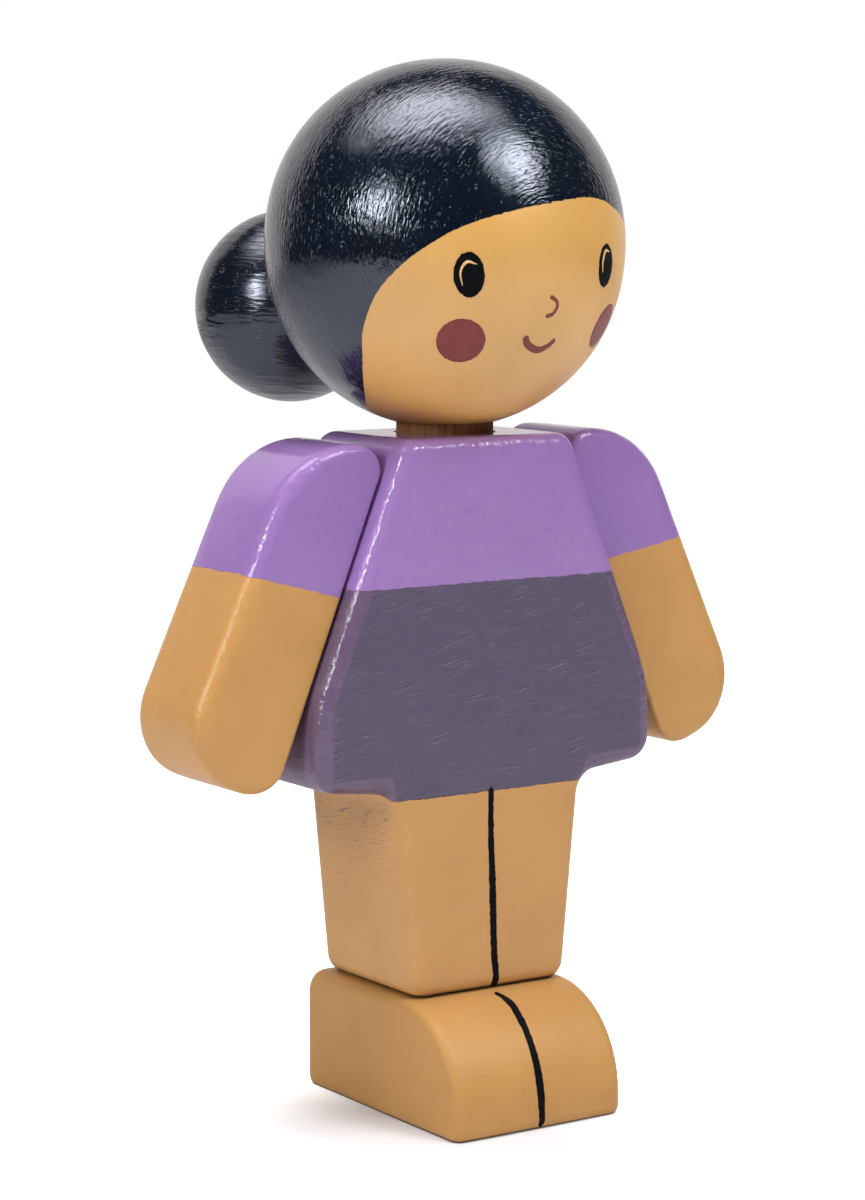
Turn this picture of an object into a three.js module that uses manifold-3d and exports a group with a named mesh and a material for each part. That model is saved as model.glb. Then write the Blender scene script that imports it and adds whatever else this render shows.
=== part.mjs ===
// A wooden toy figure: a ball head with a ball bun, a sawn board for the body and legs,
// two arms that swing on dowels and one block for both feet.
// Millimetres and degrees, +Z up. The figure faces -Y, its right side is -X, and the origin
// lies on the ground under the neck.
import * as THREE from "three";
import { mergeVertices } from "three/addons/utils/BufferGeometryUtils.js";
import Module from "manifold-3d";

// Foot block: a side outline with a quarter round over the toes
const FOOT_WIDTH = 24.7;
const FOOT_HEIGHT = 15.2;
const TOE_REACH = 21; // from the neck axis forward to the toe
const HEEL_REACH = 13.4; // from the neck axis back to the heel
const TOE_RADIUS = 12.5;
const HEEL_RADIUS = 3.5;
const FOOT_EDGE = 1.8; // rounding along both sides
const SOLE_TRIM = 1.2; // sanded off below, so the sole ends in a crisp edge

// Body board: legs, skirt and shirt in one front outline
const BOARD_DEPTH = 20.5;
const BODY_HEIGHT = 67.9;
const LEG_LENGTH = 26.7; // from the foot block to the corner of the hem
const ANKLE_WIDTH = 22.9;
const HIP_WIDTH = 27.9;
const SKIRT_WIDTH = 49.8;
const SKIRT_UPRIGHT = 9.7; // from the hem up to where the side starts to lean in
const SHOULDER_WIDTH = 24.7;
const HEM_DROP = 1.2; // fall of the skirt's underside from its corners to the legs
const BODY_EDGE = 2.2; // rounding along front and back
const BODY_CORNER = 2.6;
const HIP_FILLET = 3;
const HEM_CORNER = 3.2;
const SKIRT_BEND = 20;
const LEG_TRIM = 1.2; // sanded off below, so the legs meet the foot block in a thin seam

// Arms: blocks that lie along the slanted sides of the body
const ARM_LENGTH = 45.5; // down the slant from the level of the body's top
const ARM_DEPTH = 15.2;
const ARM_TOP_THICKNESS = 11.9;
const ARM_END_THICKNESS = 14.2;
const ARM_EDGE = 2.6;
const ARM_CORNER = 3; // both corners beside the body
const SHOULDER_RADIUS = 13;
const HAND_RADIUS = 8.2;
const ARM_GAP = 0.3; // running gap between arm and body

// Head and bun: turned balls
const HEAD_WIDTH = 44.3;
const HEAD_HEIGHT = 45;
const HEAD_FULLNESS = 2.05; // 2 is a true ellipse, more is squarer
const BUN_DIAMETER = 25;
const BUN_YAW = -3.3; // from straight behind, positive towards the figure's left
const BUN_DROP = 14.2; // of the bun's axis, below level
const BUN_FLAT = 0.8; // sanded off where the bun meets the head
const BUN_SEAT = 0.3; // glue line between bun and head
const NECK_SHOW = 0.9; // bare neck between body and head

// Dowels
const NECK_DIAMETER = 12;
const NECK_IN_HEAD = 15;
const NECK_IN_BODY = 10;
const SHOULDER_DOWEL = 6;
const SHOULDER_DROP = 12; // from the top of the body down the slant
const SHOULDER_IN_ARM = 7;
const SHOULDER_IN_BODY = 9;
const ANKLE_DOWEL = 6;
const ANKLE_SPACING = 11;
const ANKLE_IN_FOOT = 8;
const ANKLE_IN_LEG = 10;
const BUN_DOWEL = 6;
const BUN_DOWEL_IN_HEAD = 8;
const BUN_DOWEL_IN_BUN = 8;
const DOWEL_CHAMFER = 0.6;
const DOWEL_FIT = 0.3; // between a dowel and its hole, all round and at the end

// Shares that keep a rounded outline whole
const WIDEST_EDGE = 0.45; // a rim's rounding, in thicknesses of its board
const LEAST_CORNER = 1.05; // an outline's corner, in roundings of its rim
const LEAST_STRAIGHT = 0.25; // what stays straight between two corners, in least corners

// Facet counts
const ARC_STEPS = 4;
const EDGE_STEPS = 3;
const HEAD_SIDES = 44;
const BUN_SIDES = 32;
const DOWEL_SIDES = 24;

// Paint and wood
const SKIN_TAN = { color: 0xd0a061, roughness: 0.45, metalness: 0 };
const HAIR_NAVY = { color: 0x151c2b, roughness: 0.22, metalness: 0 };
const SKIRT_PLUM = { color: 0x5f5368, roughness: 0.4, metalness: 0 };
const SHIRT_LILAC = { color: 0x8f69b0, roughness: 0.35, metalness: 0 };
const BARE_WOOD = { color: 0xc79a63, roughness: 0.6, metalness: 0 };

// Levels and the lean of the sides
const bodyTop = FOOT_HEIGHT + BODY_HEIGHT;
const hemLevel = FOOT_HEIGHT + LEG_LENGTH;
const bendLevel = hemLevel + SKIRT_UPRIGHT;
const slant = Math.atan2((SKIRT_WIDTH - SHOULDER_WIDTH) / 2, bodyTop - bendLevel);
const headLevel = bodyTop + NECK_SHOW + HEAD_HEIGHT / 2;

// Diameter of each dowel, and how far it runs below and above the face it crosses
const neckRun = [NECK_DIAMETER, NECK_IN_BODY, NECK_SHOW + NECK_IN_HEAD];
const shoulderRun = [SHOULDER_DOWEL, SHOULDER_IN_BODY, ARM_GAP + SHOULDER_IN_ARM];
const ankleRun = [ANKLE_DOWEL, ANKLE_IN_FOOT, ANKLE_IN_LEG];
const bunRun = [BUN_DOWEL, BUN_DOWEL_IN_HEAD, BUN_SEAT + BUN_DOWEL_IN_BUN];

// Planes that the outlines lie in
const frontPlane = basis([1, 0, 0], [0, 0, 1], [0, -1, 0]);
const sidePlane = basis([0, 1, 0], [0, 0, 1], [1, 0, 0]);
const armPlane = basis([0, 0, 1], [0, 1, 0], [-1, 0, 0]);

const wasm = await Module();
wasm.setup();

// Matrix that carries an outline's x, y and thickness on to three directions
function basis(across, up, through) {
  const axes = [across, up, through].map((axis) => new THREE.Vector3(...axis));
  return new THREE.Matrix4().makeBasis(...axes);
}

// Geometry as a solid for cutting, with its vertices shared
function toSolid(geometry) {
  const bare = geometry.clone();
  bare.deleteAttribute("normal");
  bare.deleteAttribute("uv");
  const merged = mergeVertices(bare);
  const vertProperties = new Float32Array(merged.attributes.position.array);
  const triVerts = new Uint32Array(merged.index.array);
  return new wasm.Manifold(new wasm.Mesh({ numProp: 3, vertProperties, triVerts }));
}

// Solid back to a geometry that a mesh can show
function toGeometry(solid) {
  const { vertProperties, triVerts } = solid.getMesh();
  const geometry = new THREE.BufferGeometry();
  geometry.setAttribute("position", new THREE.BufferAttribute(vertProperties, 3));
  geometry.setIndex(new THREE.BufferAttribute(triVerts, 1));
  geometry.computeVertexNormals();
  return geometry;
}

// Geometry with every one of the cutters taken away
function cut(geometry, cutters) {
  const solid = cutters.reduce((left, cutter) => left.subtract(toSolid(cutter)), toSolid(geometry));
  return toGeometry(solid);
}

// Closed outline through corners [x, y, radius], anticlockwise. No arc is tighter than the least
// radius, and arcs shrink together where the side between them would have no straight left.
function roundedOutline(corners, least) {
  const count = corners.length;
  const points = corners.map(([x, y]) => new THREE.Vector2(x, y));
  const sides = points.map((here, i) => points[(i + 1) % count].clone().sub(here));
  const before = (i) => (i + count - 1) % count;
  const turns = sides.map((side, i) => sides[before(i)].angleTo(side));
  const wanted = corners.map(([, , radius], i) => Math.max(radius, least) * Math.tan(turns[i] / 2));
  const room = sides.map((side) => side.length() - LEAST_STRAIGHT * least);
  const shares = room.map((length, i) => Math.min(1, length / (wanted[i] + wanted[(i + 1) % count])));
  const shape = new THREE.Shape();
  points.forEach((here, i) => {
    const arriving = sides[before(i)].clone().normalize();
    const clockwise = arriving.cross(sides[i]) < 0;
    const way = clockwise ? -1 : 1;
    const tangent = wanted[i] * Math.min(shares[before(i)], shares[i]);
    const radius = tangent / Math.tan(turns[i] / 2);
    const start = here.clone().addScaledVector(arriving, -tangent);
    const inward = new THREE.Vector2(-arriving.y, arriving.x).multiplyScalar(way);
    const centre = start.clone().addScaledVector(inward, radius);
    const first = start.clone().sub(centre).angle();
    shape.absarc(centre.x, centre.y, radius, first, first + way * turns[i], clockwise);
  });
  return shape;
}

// Outline given a thickness about its own plane, with both rims rounded
function roundedBoard(corners, thickness, edge, plane) {
  const round = Math.min(edge, WIDEST_EDGE * thickness);
  const depth = thickness - 2 * round;
  const geometry = new THREE.ExtrudeGeometry(roundedOutline(corners, LEAST_CORNER * round), {
    depth,
    bevelThickness: round,
    bevelSize: round,
    bevelOffset: -round,
    bevelSegments: EDGE_STEPS,
    curveSegments: ARC_STEPS,
  });
  return geometry.translate(0, 0, -depth / 2).applyMatrix4(plane);
}

// Ball turned about Z, a little squarer than an ellipsoid where fullness is over 2
function ball(width, height, fullness, sides) {
  const steps = sides / 2;
  const profile = [];
  for (let i = 0; i <= steps; i += 1) {
    const angle = Math.PI * (i / steps - 0.5);
    const onAxis = i === 0 || i === steps;
    const out = onAxis ? 0 : Math.cos(angle) ** (2 / fullness);
    const up = Math.sign(angle) * Math.abs(Math.sin(angle)) ** (2 / fullness);
    profile.push(new THREE.Vector2((width / 2) * out, (height / 2) * up));
  }
  return new THREE.LatheGeometry(profile, sides).rotateX(Math.PI / 2);
}

// Round rod along Z from one level to another, with chamfered ends
function rod(diameter, from, to) {
  const radius = diameter / 2;
  const chamfer = Math.min(DOWEL_CHAMFER, radius / 2);
  const profile = [
    new THREE.Vector2(0, from),
    new THREE.Vector2(radius - chamfer, from),
    new THREE.Vector2(radius, from + chamfer),
    new THREE.Vector2(radius, to - chamfer),
    new THREE.Vector2(radius - chamfer, to),
    new THREE.Vector2(0, to),
  ];
  return new THREE.LatheGeometry(profile, DOWEL_SIDES).rotateX(Math.PI / 2);
}

// Dowel along Z that crosses a joint at Z = 0
function dowel(diameter, below, above) {
  return rod(diameter, -below, above);
}

// Hole that takes such a dowel, with clearance round it and at both ends
function dowelHole(diameter, below, above) {
  return rod(diameter + 2 * DOWEL_FIT, -below - DOWEL_FIT, above + DOWEL_FIT);
}

function piece(name, geometry, finish) {
  const mesh = new THREE.Mesh(geometry, new THREE.MeshStandardMaterial(finish));
  mesh.name = name;
  return mesh;
}

// Frame of one shoulder: +Z out of the slanted side along the dowel, +Y up the side
function shoulderFrame(side) {
  const x = SHOULDER_WIDTH / 2 + SHOULDER_DROP * Math.sin(slant);
  const out = new THREE.Vector3(side * Math.cos(slant), 0, Math.sin(slant));
  const up = new THREE.Vector3(-side * Math.sin(slant), 0, Math.cos(slant));
  const along = new THREE.Vector3().crossVectors(up, out);
  const frame = new THREE.Group();
  frame.position.set(side * x, 0, bodyTop - SHOULDER_DROP * Math.cos(slant));
  frame.setRotationFromMatrix(new THREE.Matrix4().makeBasis(along, up, out));
  frame.updateMatrix();
  return frame;
}

// Frame of the bun's dowel: its origin at the head's surface, +Z out through the bun
function bunFrame() {
  const yaw = THREE.MathUtils.degToRad(BUN_YAW);
  const drop = THREE.MathUtils.degToRad(BUN_DROP);
  const level = Math.cos(drop);
  const out = new THREE.Vector3(Math.sin(yaw) * level, Math.cos(yaw) * level, -Math.sin(drop));
  const across = level / (HEAD_WIDTH / 2);
  const upright = Math.sin(drop) / (HEAD_HEIGHT / 2);
  const toSurface = (across ** HEAD_FULLNESS + upright ** HEAD_FULLNESS) ** (-1 / HEAD_FULLNESS);
  const frame = new THREE.Group();
  frame.position.set(0, 0, headLevel).addScaledVector(out, toSurface);
  frame.quaternion.setFromUnitVectors(new THREE.Vector3(0, 0, 1), out);
  frame.updateMatrix();
  return frame;
}

const shoulders = { left: shoulderFrame(1), right: shoulderFrame(-1) };
const bunSeat = bunFrame();
const ankles = { left: ANKLE_SPACING / 2, right: -ANKLE_SPACING / 2 };

function neckHole() {
  return dowelHole(...neckRun).translate(0, 0, bodyTop);
}

function ankleHoles() {
  return Object.values(ankles).map((x) => dowelHole(...ankleRun).translate(x, 0, FOOT_HEIGHT));
}

// Everything below a level, wide enough to trim the board or the foot block
function below(level) {
  const reach = SKIRT_WIDTH + BOARD_DEPTH + FOOT_WIDTH + TOE_REACH + HEEL_REACH;
  return new THREE.BoxGeometry(reach, reach, FOOT_HEIGHT).translate(0, 0, level - FOOT_HEIGHT / 2);
}

// Foot block: flat under the legs, a quarter round over the toes, flat sole
function footBlock() {
  const outline = [
    [-TOE_REACH, -SOLE_TRIM, FOOT_EDGE],
    [HEEL_REACH, -SOLE_TRIM, FOOT_EDGE],
    [HEEL_REACH, FOOT_HEIGHT, HEEL_RADIUS],
    [-TOE_REACH, FOOT_HEIGHT, TOE_RADIUS],
  ];
  const block = roundedBoard(outline, FOOT_WIDTH, FOOT_EDGE, sidePlane);
  return cut(block, [below(0), ...ankleHoles()]);
}

// Body board: tapered legs, the hem standing out beside them and slanted sides up to the shoulders
function bodyBoard() {
  const taper = (HIP_WIDTH - ANKLE_WIDTH) / 2 / LEG_LENGTH;
  const leftSide = [
    [ANKLE_WIDTH / 2 - taper * LEG_TRIM, FOOT_HEIGHT - LEG_TRIM, BODY_CORNER],
    [HIP_WIDTH / 2, hemLevel - HEM_DROP, HIP_FILLET],
    [SKIRT_WIDTH / 2, hemLevel, HEM_CORNER],
    [SKIRT_WIDTH / 2, bendLevel, SKIRT_BEND],
    [SHOULDER_WIDTH / 2, bodyTop, BODY_CORNER],
  ];
  const rightSide = leftSide.map(([x, z, radius]) => [-x, z, radius]).reverse();
  const board = roundedBoard([...leftSide, ...rightSide], BOARD_DEPTH, BODY_EDGE, frontPlane);
  const shoulderHoles = Object.values(shoulders).map((frame) =>
    dowelHole(...shoulderRun).applyMatrix4(frame.matrix));
  return cut(board, [below(FOOT_HEIGHT), neckHole(), ...shoulderHoles, ...ankleHoles()]);
}

// Arm in its shoulder frame: level top, large round shoulder, rounded hand end
function armBlock() {
  const end = SHOULDER_DROP - ARM_LENGTH;
  const lean = Math.tan(slant);
  const taper = (ARM_END_THICKNESS - ARM_TOP_THICKNESS) / ARM_LENGTH;
  const outerTop = (ARM_GAP + ARM_TOP_THICKNESS) / (1 - taper * lean);
  const outline = [
    [ARM_GAP, end, ARM_CORNER],
    [ARM_GAP + ARM_END_THICKNESS, end, HAND_RADIUS],
    [outerTop, SHOULDER_DROP - outerTop * lean, SHOULDER_RADIUS],
    [ARM_GAP, SHOULDER_DROP - ARM_GAP * lean, ARM_CORNER],
  ];
  const block = roundedBoard(outline, ARM_DEPTH, ARM_EDGE, armPlane);
  return cut(block, [dowelHole(...shoulderRun)]);
}

// Head ball with blind holes for the neck and for the bun's dowel
function headBall() {
  const solid = ball(HEAD_WIDTH, HEAD_HEIGHT, HEAD_FULLNESS, HEAD_SIDES).translate(0, 0, headLevel);
  const bunHole = dowelHole(...bunRun).applyMatrix4(bunSeat.matrix);
  return cut(solid, [neckHole(), bunHole]);
}

// Bun in its own frame: a ball with a small flat against the head
function bunBall() {
  const middle = BUN_SEAT + BUN_DIAMETER / 2 - BUN_FLAT;
  const solid = ball(BUN_DIAMETER, BUN_DIAMETER, 2, BUN_SIDES).translate(0, 0, middle);
  const flat = new THREE.BoxGeometry(BUN_DIAMETER, BUN_DIAMETER, BUN_DIAMETER);
  flat.translate(0, 0, BUN_SEAT - BUN_DIAMETER / 2);
  return cut(solid, [flat, dowelHole(...bunRun)]);
}

const figure = new THREE.Group();

figure.add(piece("foot_block", footBlock(), SKIN_TAN));
figure.add(piece("body_board", bodyBoard(), SKIRT_PLUM));
for (const [name, x] of Object.entries(ankles)) {
  const ankle = piece(`${name}_ankle_dowel`, dowel(...ankleRun), BARE_WOOD);
  ankle.position.set(x, 0, FOOT_HEIGHT);
  figure.add(ankle);
}

const neck = piece("neck_dowel", dowel(...neckRun), BARE_WOOD);
neck.position.set(0, 0, bodyTop);
figure.add(neck);
figure.add(piece("head_ball", headBall(), HAIR_NAVY));

bunSeat.add(piece("hair_bun", bunBall(), HAIR_NAVY));
bunSeat.add(piece("bun_dowel", dowel(...bunRun), BARE_WOOD));
figure.add(bunSeat);

for (const [name, frame] of Object.entries(shoulders)) {
  frame.add(piece(`${name}_arm`, armBlock(), SHIRT_LILAC));
  frame.add(piece(`${name}_shoulder_dowel`, dowel(...shoulderRun), BARE_WOOD));
  figure.add(frame);
}

export default figure;
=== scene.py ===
# %% [markdown]
# # A painted wooden doll
# The doll is a toy of plain turned and sawn wood: a ball for the head, a smaller ball for the hair
# bun, one board for shirt, skirt and legs, two arms that swing and one block for both feet.
# Nearly all of its charm is paint, so this lesson spends its time on clean rounded blocks and on
# paint that looks brushed on over wood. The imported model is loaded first, as a fixed frame that
# every piece below has to fit.

# %% Load the frame
import math

import bmesh
import bpy
import numpy as np
from mathutils import Matrix, Vector


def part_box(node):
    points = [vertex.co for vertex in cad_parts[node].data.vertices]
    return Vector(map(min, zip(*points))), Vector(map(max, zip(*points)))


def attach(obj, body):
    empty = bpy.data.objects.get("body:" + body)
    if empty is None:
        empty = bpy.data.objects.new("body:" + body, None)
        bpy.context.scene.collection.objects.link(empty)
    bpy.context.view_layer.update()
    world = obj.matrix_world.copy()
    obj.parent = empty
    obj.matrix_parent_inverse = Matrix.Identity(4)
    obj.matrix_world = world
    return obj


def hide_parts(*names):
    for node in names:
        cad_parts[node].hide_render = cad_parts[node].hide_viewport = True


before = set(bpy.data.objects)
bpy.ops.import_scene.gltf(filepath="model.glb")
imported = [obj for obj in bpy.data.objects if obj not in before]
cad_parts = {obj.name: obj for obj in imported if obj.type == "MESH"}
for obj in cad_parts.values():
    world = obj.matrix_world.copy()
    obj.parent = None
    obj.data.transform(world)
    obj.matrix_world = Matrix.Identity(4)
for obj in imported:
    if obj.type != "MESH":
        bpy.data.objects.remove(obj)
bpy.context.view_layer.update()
MM = 0.001  # one millimetre, in Blender's metres

# %% [markdown]
# ## Where the picture is taken from
# A long lens close to the doll's own height keeps the blocks nearly square in the picture. The
# turn is counted from straight in front of the doll towards its left side, and the rise from the
# level, so one small function turns any such pair into a direction. It places the lamps as well.

# %% Camera
PICTURE_HEIGHT = 1200  # pixels
FOCAL_LENGTH = 3286.6  # pixels
SENSOR = 36.0  # mm
NEAREST_SEEN = 10.0  # mm
VIEW_TURN = -33.9  # degrees
VIEW_RISE = 7.0  # degrees
VIEW_DISTANCE = 408.0  # mm
VIEW_CENTRE = Vector((-1.48, 0.49, 62.58))  # mm


def direction(turn, rise):
    """Unit vector that points away from the doll, by turn and rise in degrees."""
    turn, rise = math.radians(turn), math.radians(rise)
    level = math.cos(rise)
    return Vector((math.sin(turn) * level, -math.cos(turn) * level, math.sin(rise)))


def show(thing, name):
    """Object of that mesh, light or camera, linked to the scene."""
    made = bpy.data.objects.new(name, thing)
    bpy.context.scene.collection.objects.link(made)
    return made


def aim(thing, turn, rise, distance, centre):
    """Puts a camera or a lamp at a distance from a centre, looking at it. Sizes in mm."""
    away = direction(turn, rise)
    thing.location = (centre + away * distance) * MM
    thing.rotation_euler = away.to_track_quat("Z", "Y").to_euler()


lens = bpy.data.cameras.new("photo_camera")
lens.sensor_fit = "VERTICAL"
lens.sensor_height = SENSOR
lens.lens = FOCAL_LENGTH * SENSOR / PICTURE_HEIGHT
lens.clip_start = NEAREST_SEEN * MM
camera = show(lens, "photo_camera")
aim(camera, VIEW_TURN, VIEW_RISE, VIEW_DISTANCE, VIEW_CENTRE)
bpy.context.scene.camera = camera
bpy.context.scene.view_settings.view_transform = "Standard"
print("lens in mm:", round(lens.lens, 1))

# %% [markdown]
# ## Building node trees in a script
# Shaders and geometry trees are long to write out link by link. One helper adds a node to the tree
# that its inputs come from, sets its options, and links an input by itself wherever the value is
# another node's socket. Everything after it reads as a list of nodes in the order in which they
# feed each other. A material starts with the place on the piece in millimetres, so that the size of
# every pattern can be read as a real size, and ends with what its shader gets.

# %% Node helpers
def is_socket(value):
    return isinstance(value, bpy.types.NodeSocket)


def give(socket, value):
    """Links another node's socket to an input, or sets any other value on the input itself."""
    if is_socket(value):
        socket.id_data.links.new(value, socket)
    else:
        socket.default_value = value


def node(kind, inputs=None, tree=None, **options):
    """Adds a node to a tree or to that of its inputs, with its options set and its inputs given."""
    inputs = inputs or {}
    tree = tree or next(value.id_data for value in inputs.values() if is_socket(value))
    made = tree.nodes.new(kind)
    for key, value in options.items():
        setattr(made, key, value)
    for key, value in inputs.items():
        give(made.inputs[key], value)
    return made


print("helper for nodes ready")

# %% Arithmetic of nodes
def number_step(operation, first, second=0.0, third=0.0):
    """One step of arithmetic on numbers."""
    inputs = {0: first, 1: second, 2: third}
    return node("ShaderNodeMath", inputs, operation=operation).outputs[0]


def plus(first, second):
    return number_step("ADD", first, second)


def minus(first, second):
    return number_step("SUBTRACT", first, second)


def times(first, *others):
    for other in others:
        first = number_step("MULTIPLY", first, other)
    return first


def vector_step(operation, first, second=(0, 0, 0)):
    """One step of arithmetic on vectors, which gives a vector, or a number where that is asked."""
    made = node("ShaderNodeVectorMath", {0: first, 1: second}, operation=operation)
    return made.outputs["Value" if operation in ("LENGTH", "DOT_PRODUCT") else "Vector"]


def scaled(vector, factor):
    """Vector times a number."""
    inputs = {0: vector, "Scale": factor}
    return node("ShaderNodeVectorMath", inputs, operation="SCALE").outputs["Vector"]


def between(value, low, high, first=0.0, last=1.0):
    """Smooth step of a value, from first at low to last at high."""
    inputs = {0: value, 1: low, 2: high, 3: first, 4: last}
    step = node("ShaderNodeMapRange", inputs, interpolation_type="SMOOTHSTEP")
    return step.outputs[0]


def mixed(share, first, second):
    """Colour that goes from first to second as the share goes from 0 to 1."""
    first, second = (colour if is_socket(colour) else (*colour, 1) for colour in (first, second))
    inputs = {0: share, 6: first, 7: second}
    return node("ShaderNodeMix", inputs, data_type="RGBA").outputs[2]


print("helpers for arithmetic ready")

# %% Starting and ending a material
def start_paint(name):
    """New material, and the place on the piece in millimetres."""
    material = bpy.data.materials.new(name)
    material.use_nodes = True
    place = node("ShaderNodeTexCoord", tree=material.node_tree).outputs["Object"]
    return material, scaled(place, 1 / MM)


def end_paint(material, inputs):
    """Gives the material's shader its inputs."""
    shader = material.node_tree.nodes["Principled BSDF"]
    for name, value in inputs.items():
        give(shader.inputs[name], value)
    return material


print("material helpers ready")

# %% [markdown]
# ## A pale floor and soft light
# The doll stands on white in a dark room. Two oval lamps, one low on the left and one high on the
# right, give the two bright patches on the hair. Each fades from its middle to its edge, as a
# softbox does, so its patch has no hard outline. A wide card overhead shows in gloss alone, as the
# broad dim patch on the crown, and a smaller lamp beside it does the lighting. Behind the doll a
# white wall fills a quarter of the way round, which puts the pale rim on every glossy edge. Towards
# the camera, floor and wall go to plain white, apart from the floor close to the doll, which keeps
# its shadow.

# %% Floor
FLOOR_RADIUS = 900.0  # mm
FLOOR_SIDES = 96
FLOOR_DROP = 0.05  # mm below the sole
PAPER = (0.79, 0.79, 0.80, 1)
WHITE = (1, 1, 1, 1)
SHADOW_MIDDLE = (-11, -22, 0)  # mm, of the part of the floor that shows the shadow
SHADOW_REACH = (8, 14, 100)  # mm from its middle to its sides
SHADOW_FADE = 33.0  # mm beyond them to plain white


def make_paper():
    material, place = start_paint("white_paper")
    apart = vector_step("ABSOLUTE", vector_step("SUBTRACT", place, SHADOW_MIDDLE))
    past = vector_step("MAXIMUM", vector_step("SUBTRACT", apart, SHADOW_REACH))
    glow = between(vector_step("LENGTH", past), 0.0, SHADOW_FADE)
    to_camera = node("ShaderNodeLightPath", tree=material.node_tree).outputs["Is Camera Ray"]
    return end_paint(material, {
        "Base Color": PAPER, "Roughness": 0.7, "Specular IOR Level": 0.2,
        "Emission Color": WHITE, "Emission Strength": times(to_camera, glow),
    })


def make_floor():
    shape = bmesh.new()
    bmesh.ops.create_circle(shape, cap_ends=True, segments=FLOOR_SIDES, radius=FLOOR_RADIUS * MM)
    mesh = bpy.data.meshes.new("floor")
    shape.to_mesh(mesh)
    shape.free()
    mesh.transform(Matrix.Translation((0, 0, -FLOOR_DROP * MM)))
    mesh.materials.append(make_paper())
    return show(mesh, "floor")


floor = make_floor()
print("floor radius in mm:", FLOOR_RADIUS)

# %% Lamps
LAMP_CENTRE = Vector((0, 0, 80))  # mm
DISC_MEAN = 0.3  # mean over a disc of a smooth step from 1 in its middle to 0 at its edge
FACE_MIDDLE = (0.5, 0.5, 0)  # of a lamp's face, whose places run from 0 to 1 both ways
FACE_REACH = 0.5
COOL = (0.97, 0.98, 1.0)
COOLER = (0.96, 0.98, 1.0)
ROSE = (1.0, 0.97, 1.0)
DEEP_ROSE = (1.0, 0.96, 1.0)


def make_lamp(name, turn, rise, distance, size, brightness, tint, edge=0.12):
    """Oval lamp of a width and height in mm and a mean brightness, a share of which its edge has."""
    data = bpy.data.lights.new(name, "AREA")
    data.shape = "ELLIPSE"
    data.size, data.size_y = (value * MM for value in size)
    data.energy = brightness * math.pi * data.size * data.size_y * math.pi / 4
    data.color = tint
    data.use_nodes = True
    tree = data.node_tree
    spot = node("ShaderNodeNewGeometry", tree=tree).outputs["Parametric"]
    out = vector_step("LENGTH", vector_step("SUBTRACT", spot, FACE_MIDDLE))
    glow = between(out, 0.0, FACE_REACH, edge + (1 - edge) / DISC_MEAN, edge)
    give(tree.nodes["Emission"].inputs["Strength"], glow)
    lamp = show(data, name)
    aim(lamp, turn, rise, distance, LAMP_CENTRE)
    lamp.visible_camera = False
    return lamp


left_lamp = make_lamp("left_lamp", -79, 23, 700, (310, 370), 7.9, COOL)
right_lamp = make_lamp("right_lamp", 27, 45, 700, (480, 480), 6.2, COOLER, edge=0.4)
top_lamp = make_lamp("top_lamp", -75, 79, 760, (600, 600), 5.0, ROSE)
top_lamp.visible_glossy = False
top_card = make_lamp("top_card", VIEW_TURN - 90, 82, 760, (800, 1250), 2.8, DEEP_ROSE)
top_card.visible_diffuse = False
print("lamps:", ", ".join(lamp.name for lamp in (left_lamp, right_lamp, top_lamp, top_card)))

# %% White wall
WALL_SIDES = (100.0, 203.0)  # degrees, turn of the white wall's two upright edges
WALL_TOP = (-25.0, 47.0)  # degrees, the direction that its slanted top edge is square to
WALL_BLUR = 0.04  # softness of its edges
WALL_LIGHT = (0.92, 0.86, 0.84)
ROOM_LIGHT = (0.035, 0.035, 0.035)


def make_world():
    world = bpy.data.worlds.new("studio")
    world.use_nodes = True
    tree = world.node_tree
    bpy.context.scene.world = world
    way = node("ShaderNodeTexCoord", tree=tree).outputs["Generated"]
    first, last = WALL_SIDES
    wall = 1.0
    for facing in (direction(first + 90, 0), direction(last - 90, 0), -direction(*WALL_TOP)):
        inside = vector_step("DOT_PRODUCT", way, facing)
        wall = times(between(inside, -WALL_BLUR, WALL_BLUR), wall)
    room = mixed(wall, ROOM_LIGHT, WALL_LIGHT)
    to_camera = node("ShaderNodeLightPath", tree=tree).outputs["Is Camera Ray"]
    seen = mixed(to_camera, room, WHITE[:3])
    give(tree.nodes["Background"].inputs["Color"], seen)


make_world()
print("white wall between turns of", *WALL_SIDES, "degrees")

# %% [markdown]
# ## Paint over wood
# Five things make paint on wood look real: colour that drifts a little from place to place, tiny
# pits where the pores were not filled, a fine orange-peel skin that breaks up reflections, ridges
# of the brush along rounded rims, and edges between two colours that wander by a fraction of a
# millimetre. Each is a short helper. A picture of paint would be quicker, but it could not be
# looked at this closely, and it would have to be wrapped round every piece.

# %% Noise
def clouds(place, size, detail=2.0, seed=0.0):
    """Soft random value around 0.5, with features of about that size in mm."""
    inputs = {"Vector": place, "Scale": 1 / size, "Detail": detail, "W": seed}
    return node("ShaderNodeTexNoise", inputs, noise_dimensions="4D").outputs[0]


def streaks(place, size, turn=(0, 0, 0), detail=2.0, seed=0.0):
    """The same, drawn out to a size in mm along each axis after a turn in degrees."""
    inputs = {"Vector": place, "Rotation": [math.radians(angle) for angle in turn]}
    turned = node("ShaderNodeMapping", inputs).outputs[0]
    return clouds(vector_step("DIVIDE", turned, size), 1.0, detail, seed)


def specks(place, spacing, radius, share):
    """1 inside small round specks: one to a cell of that spacing, in that share of the cells."""
    cells = node("ShaderNodeTexVoronoi", {"Vector": place, "Scale": 1 / spacing})
    reach = radius / spacing
    near = between(cells.outputs["Distance"], 0.6 * reach, reach, 1.0, 0.0)
    chance = node("ShaderNodeSeparateColor", {0: cells.outputs["Color"]}).outputs[0]
    return times(near, number_step("LESS_THAN", chance, share))


def wander(place, reach, size):
    """Random shift in mm, up to that reach either way, for an edge between two colours."""
    return times(minus(clouds(place, size, 3.0, seed=5.0), 0.5), 4 * reach)


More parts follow.
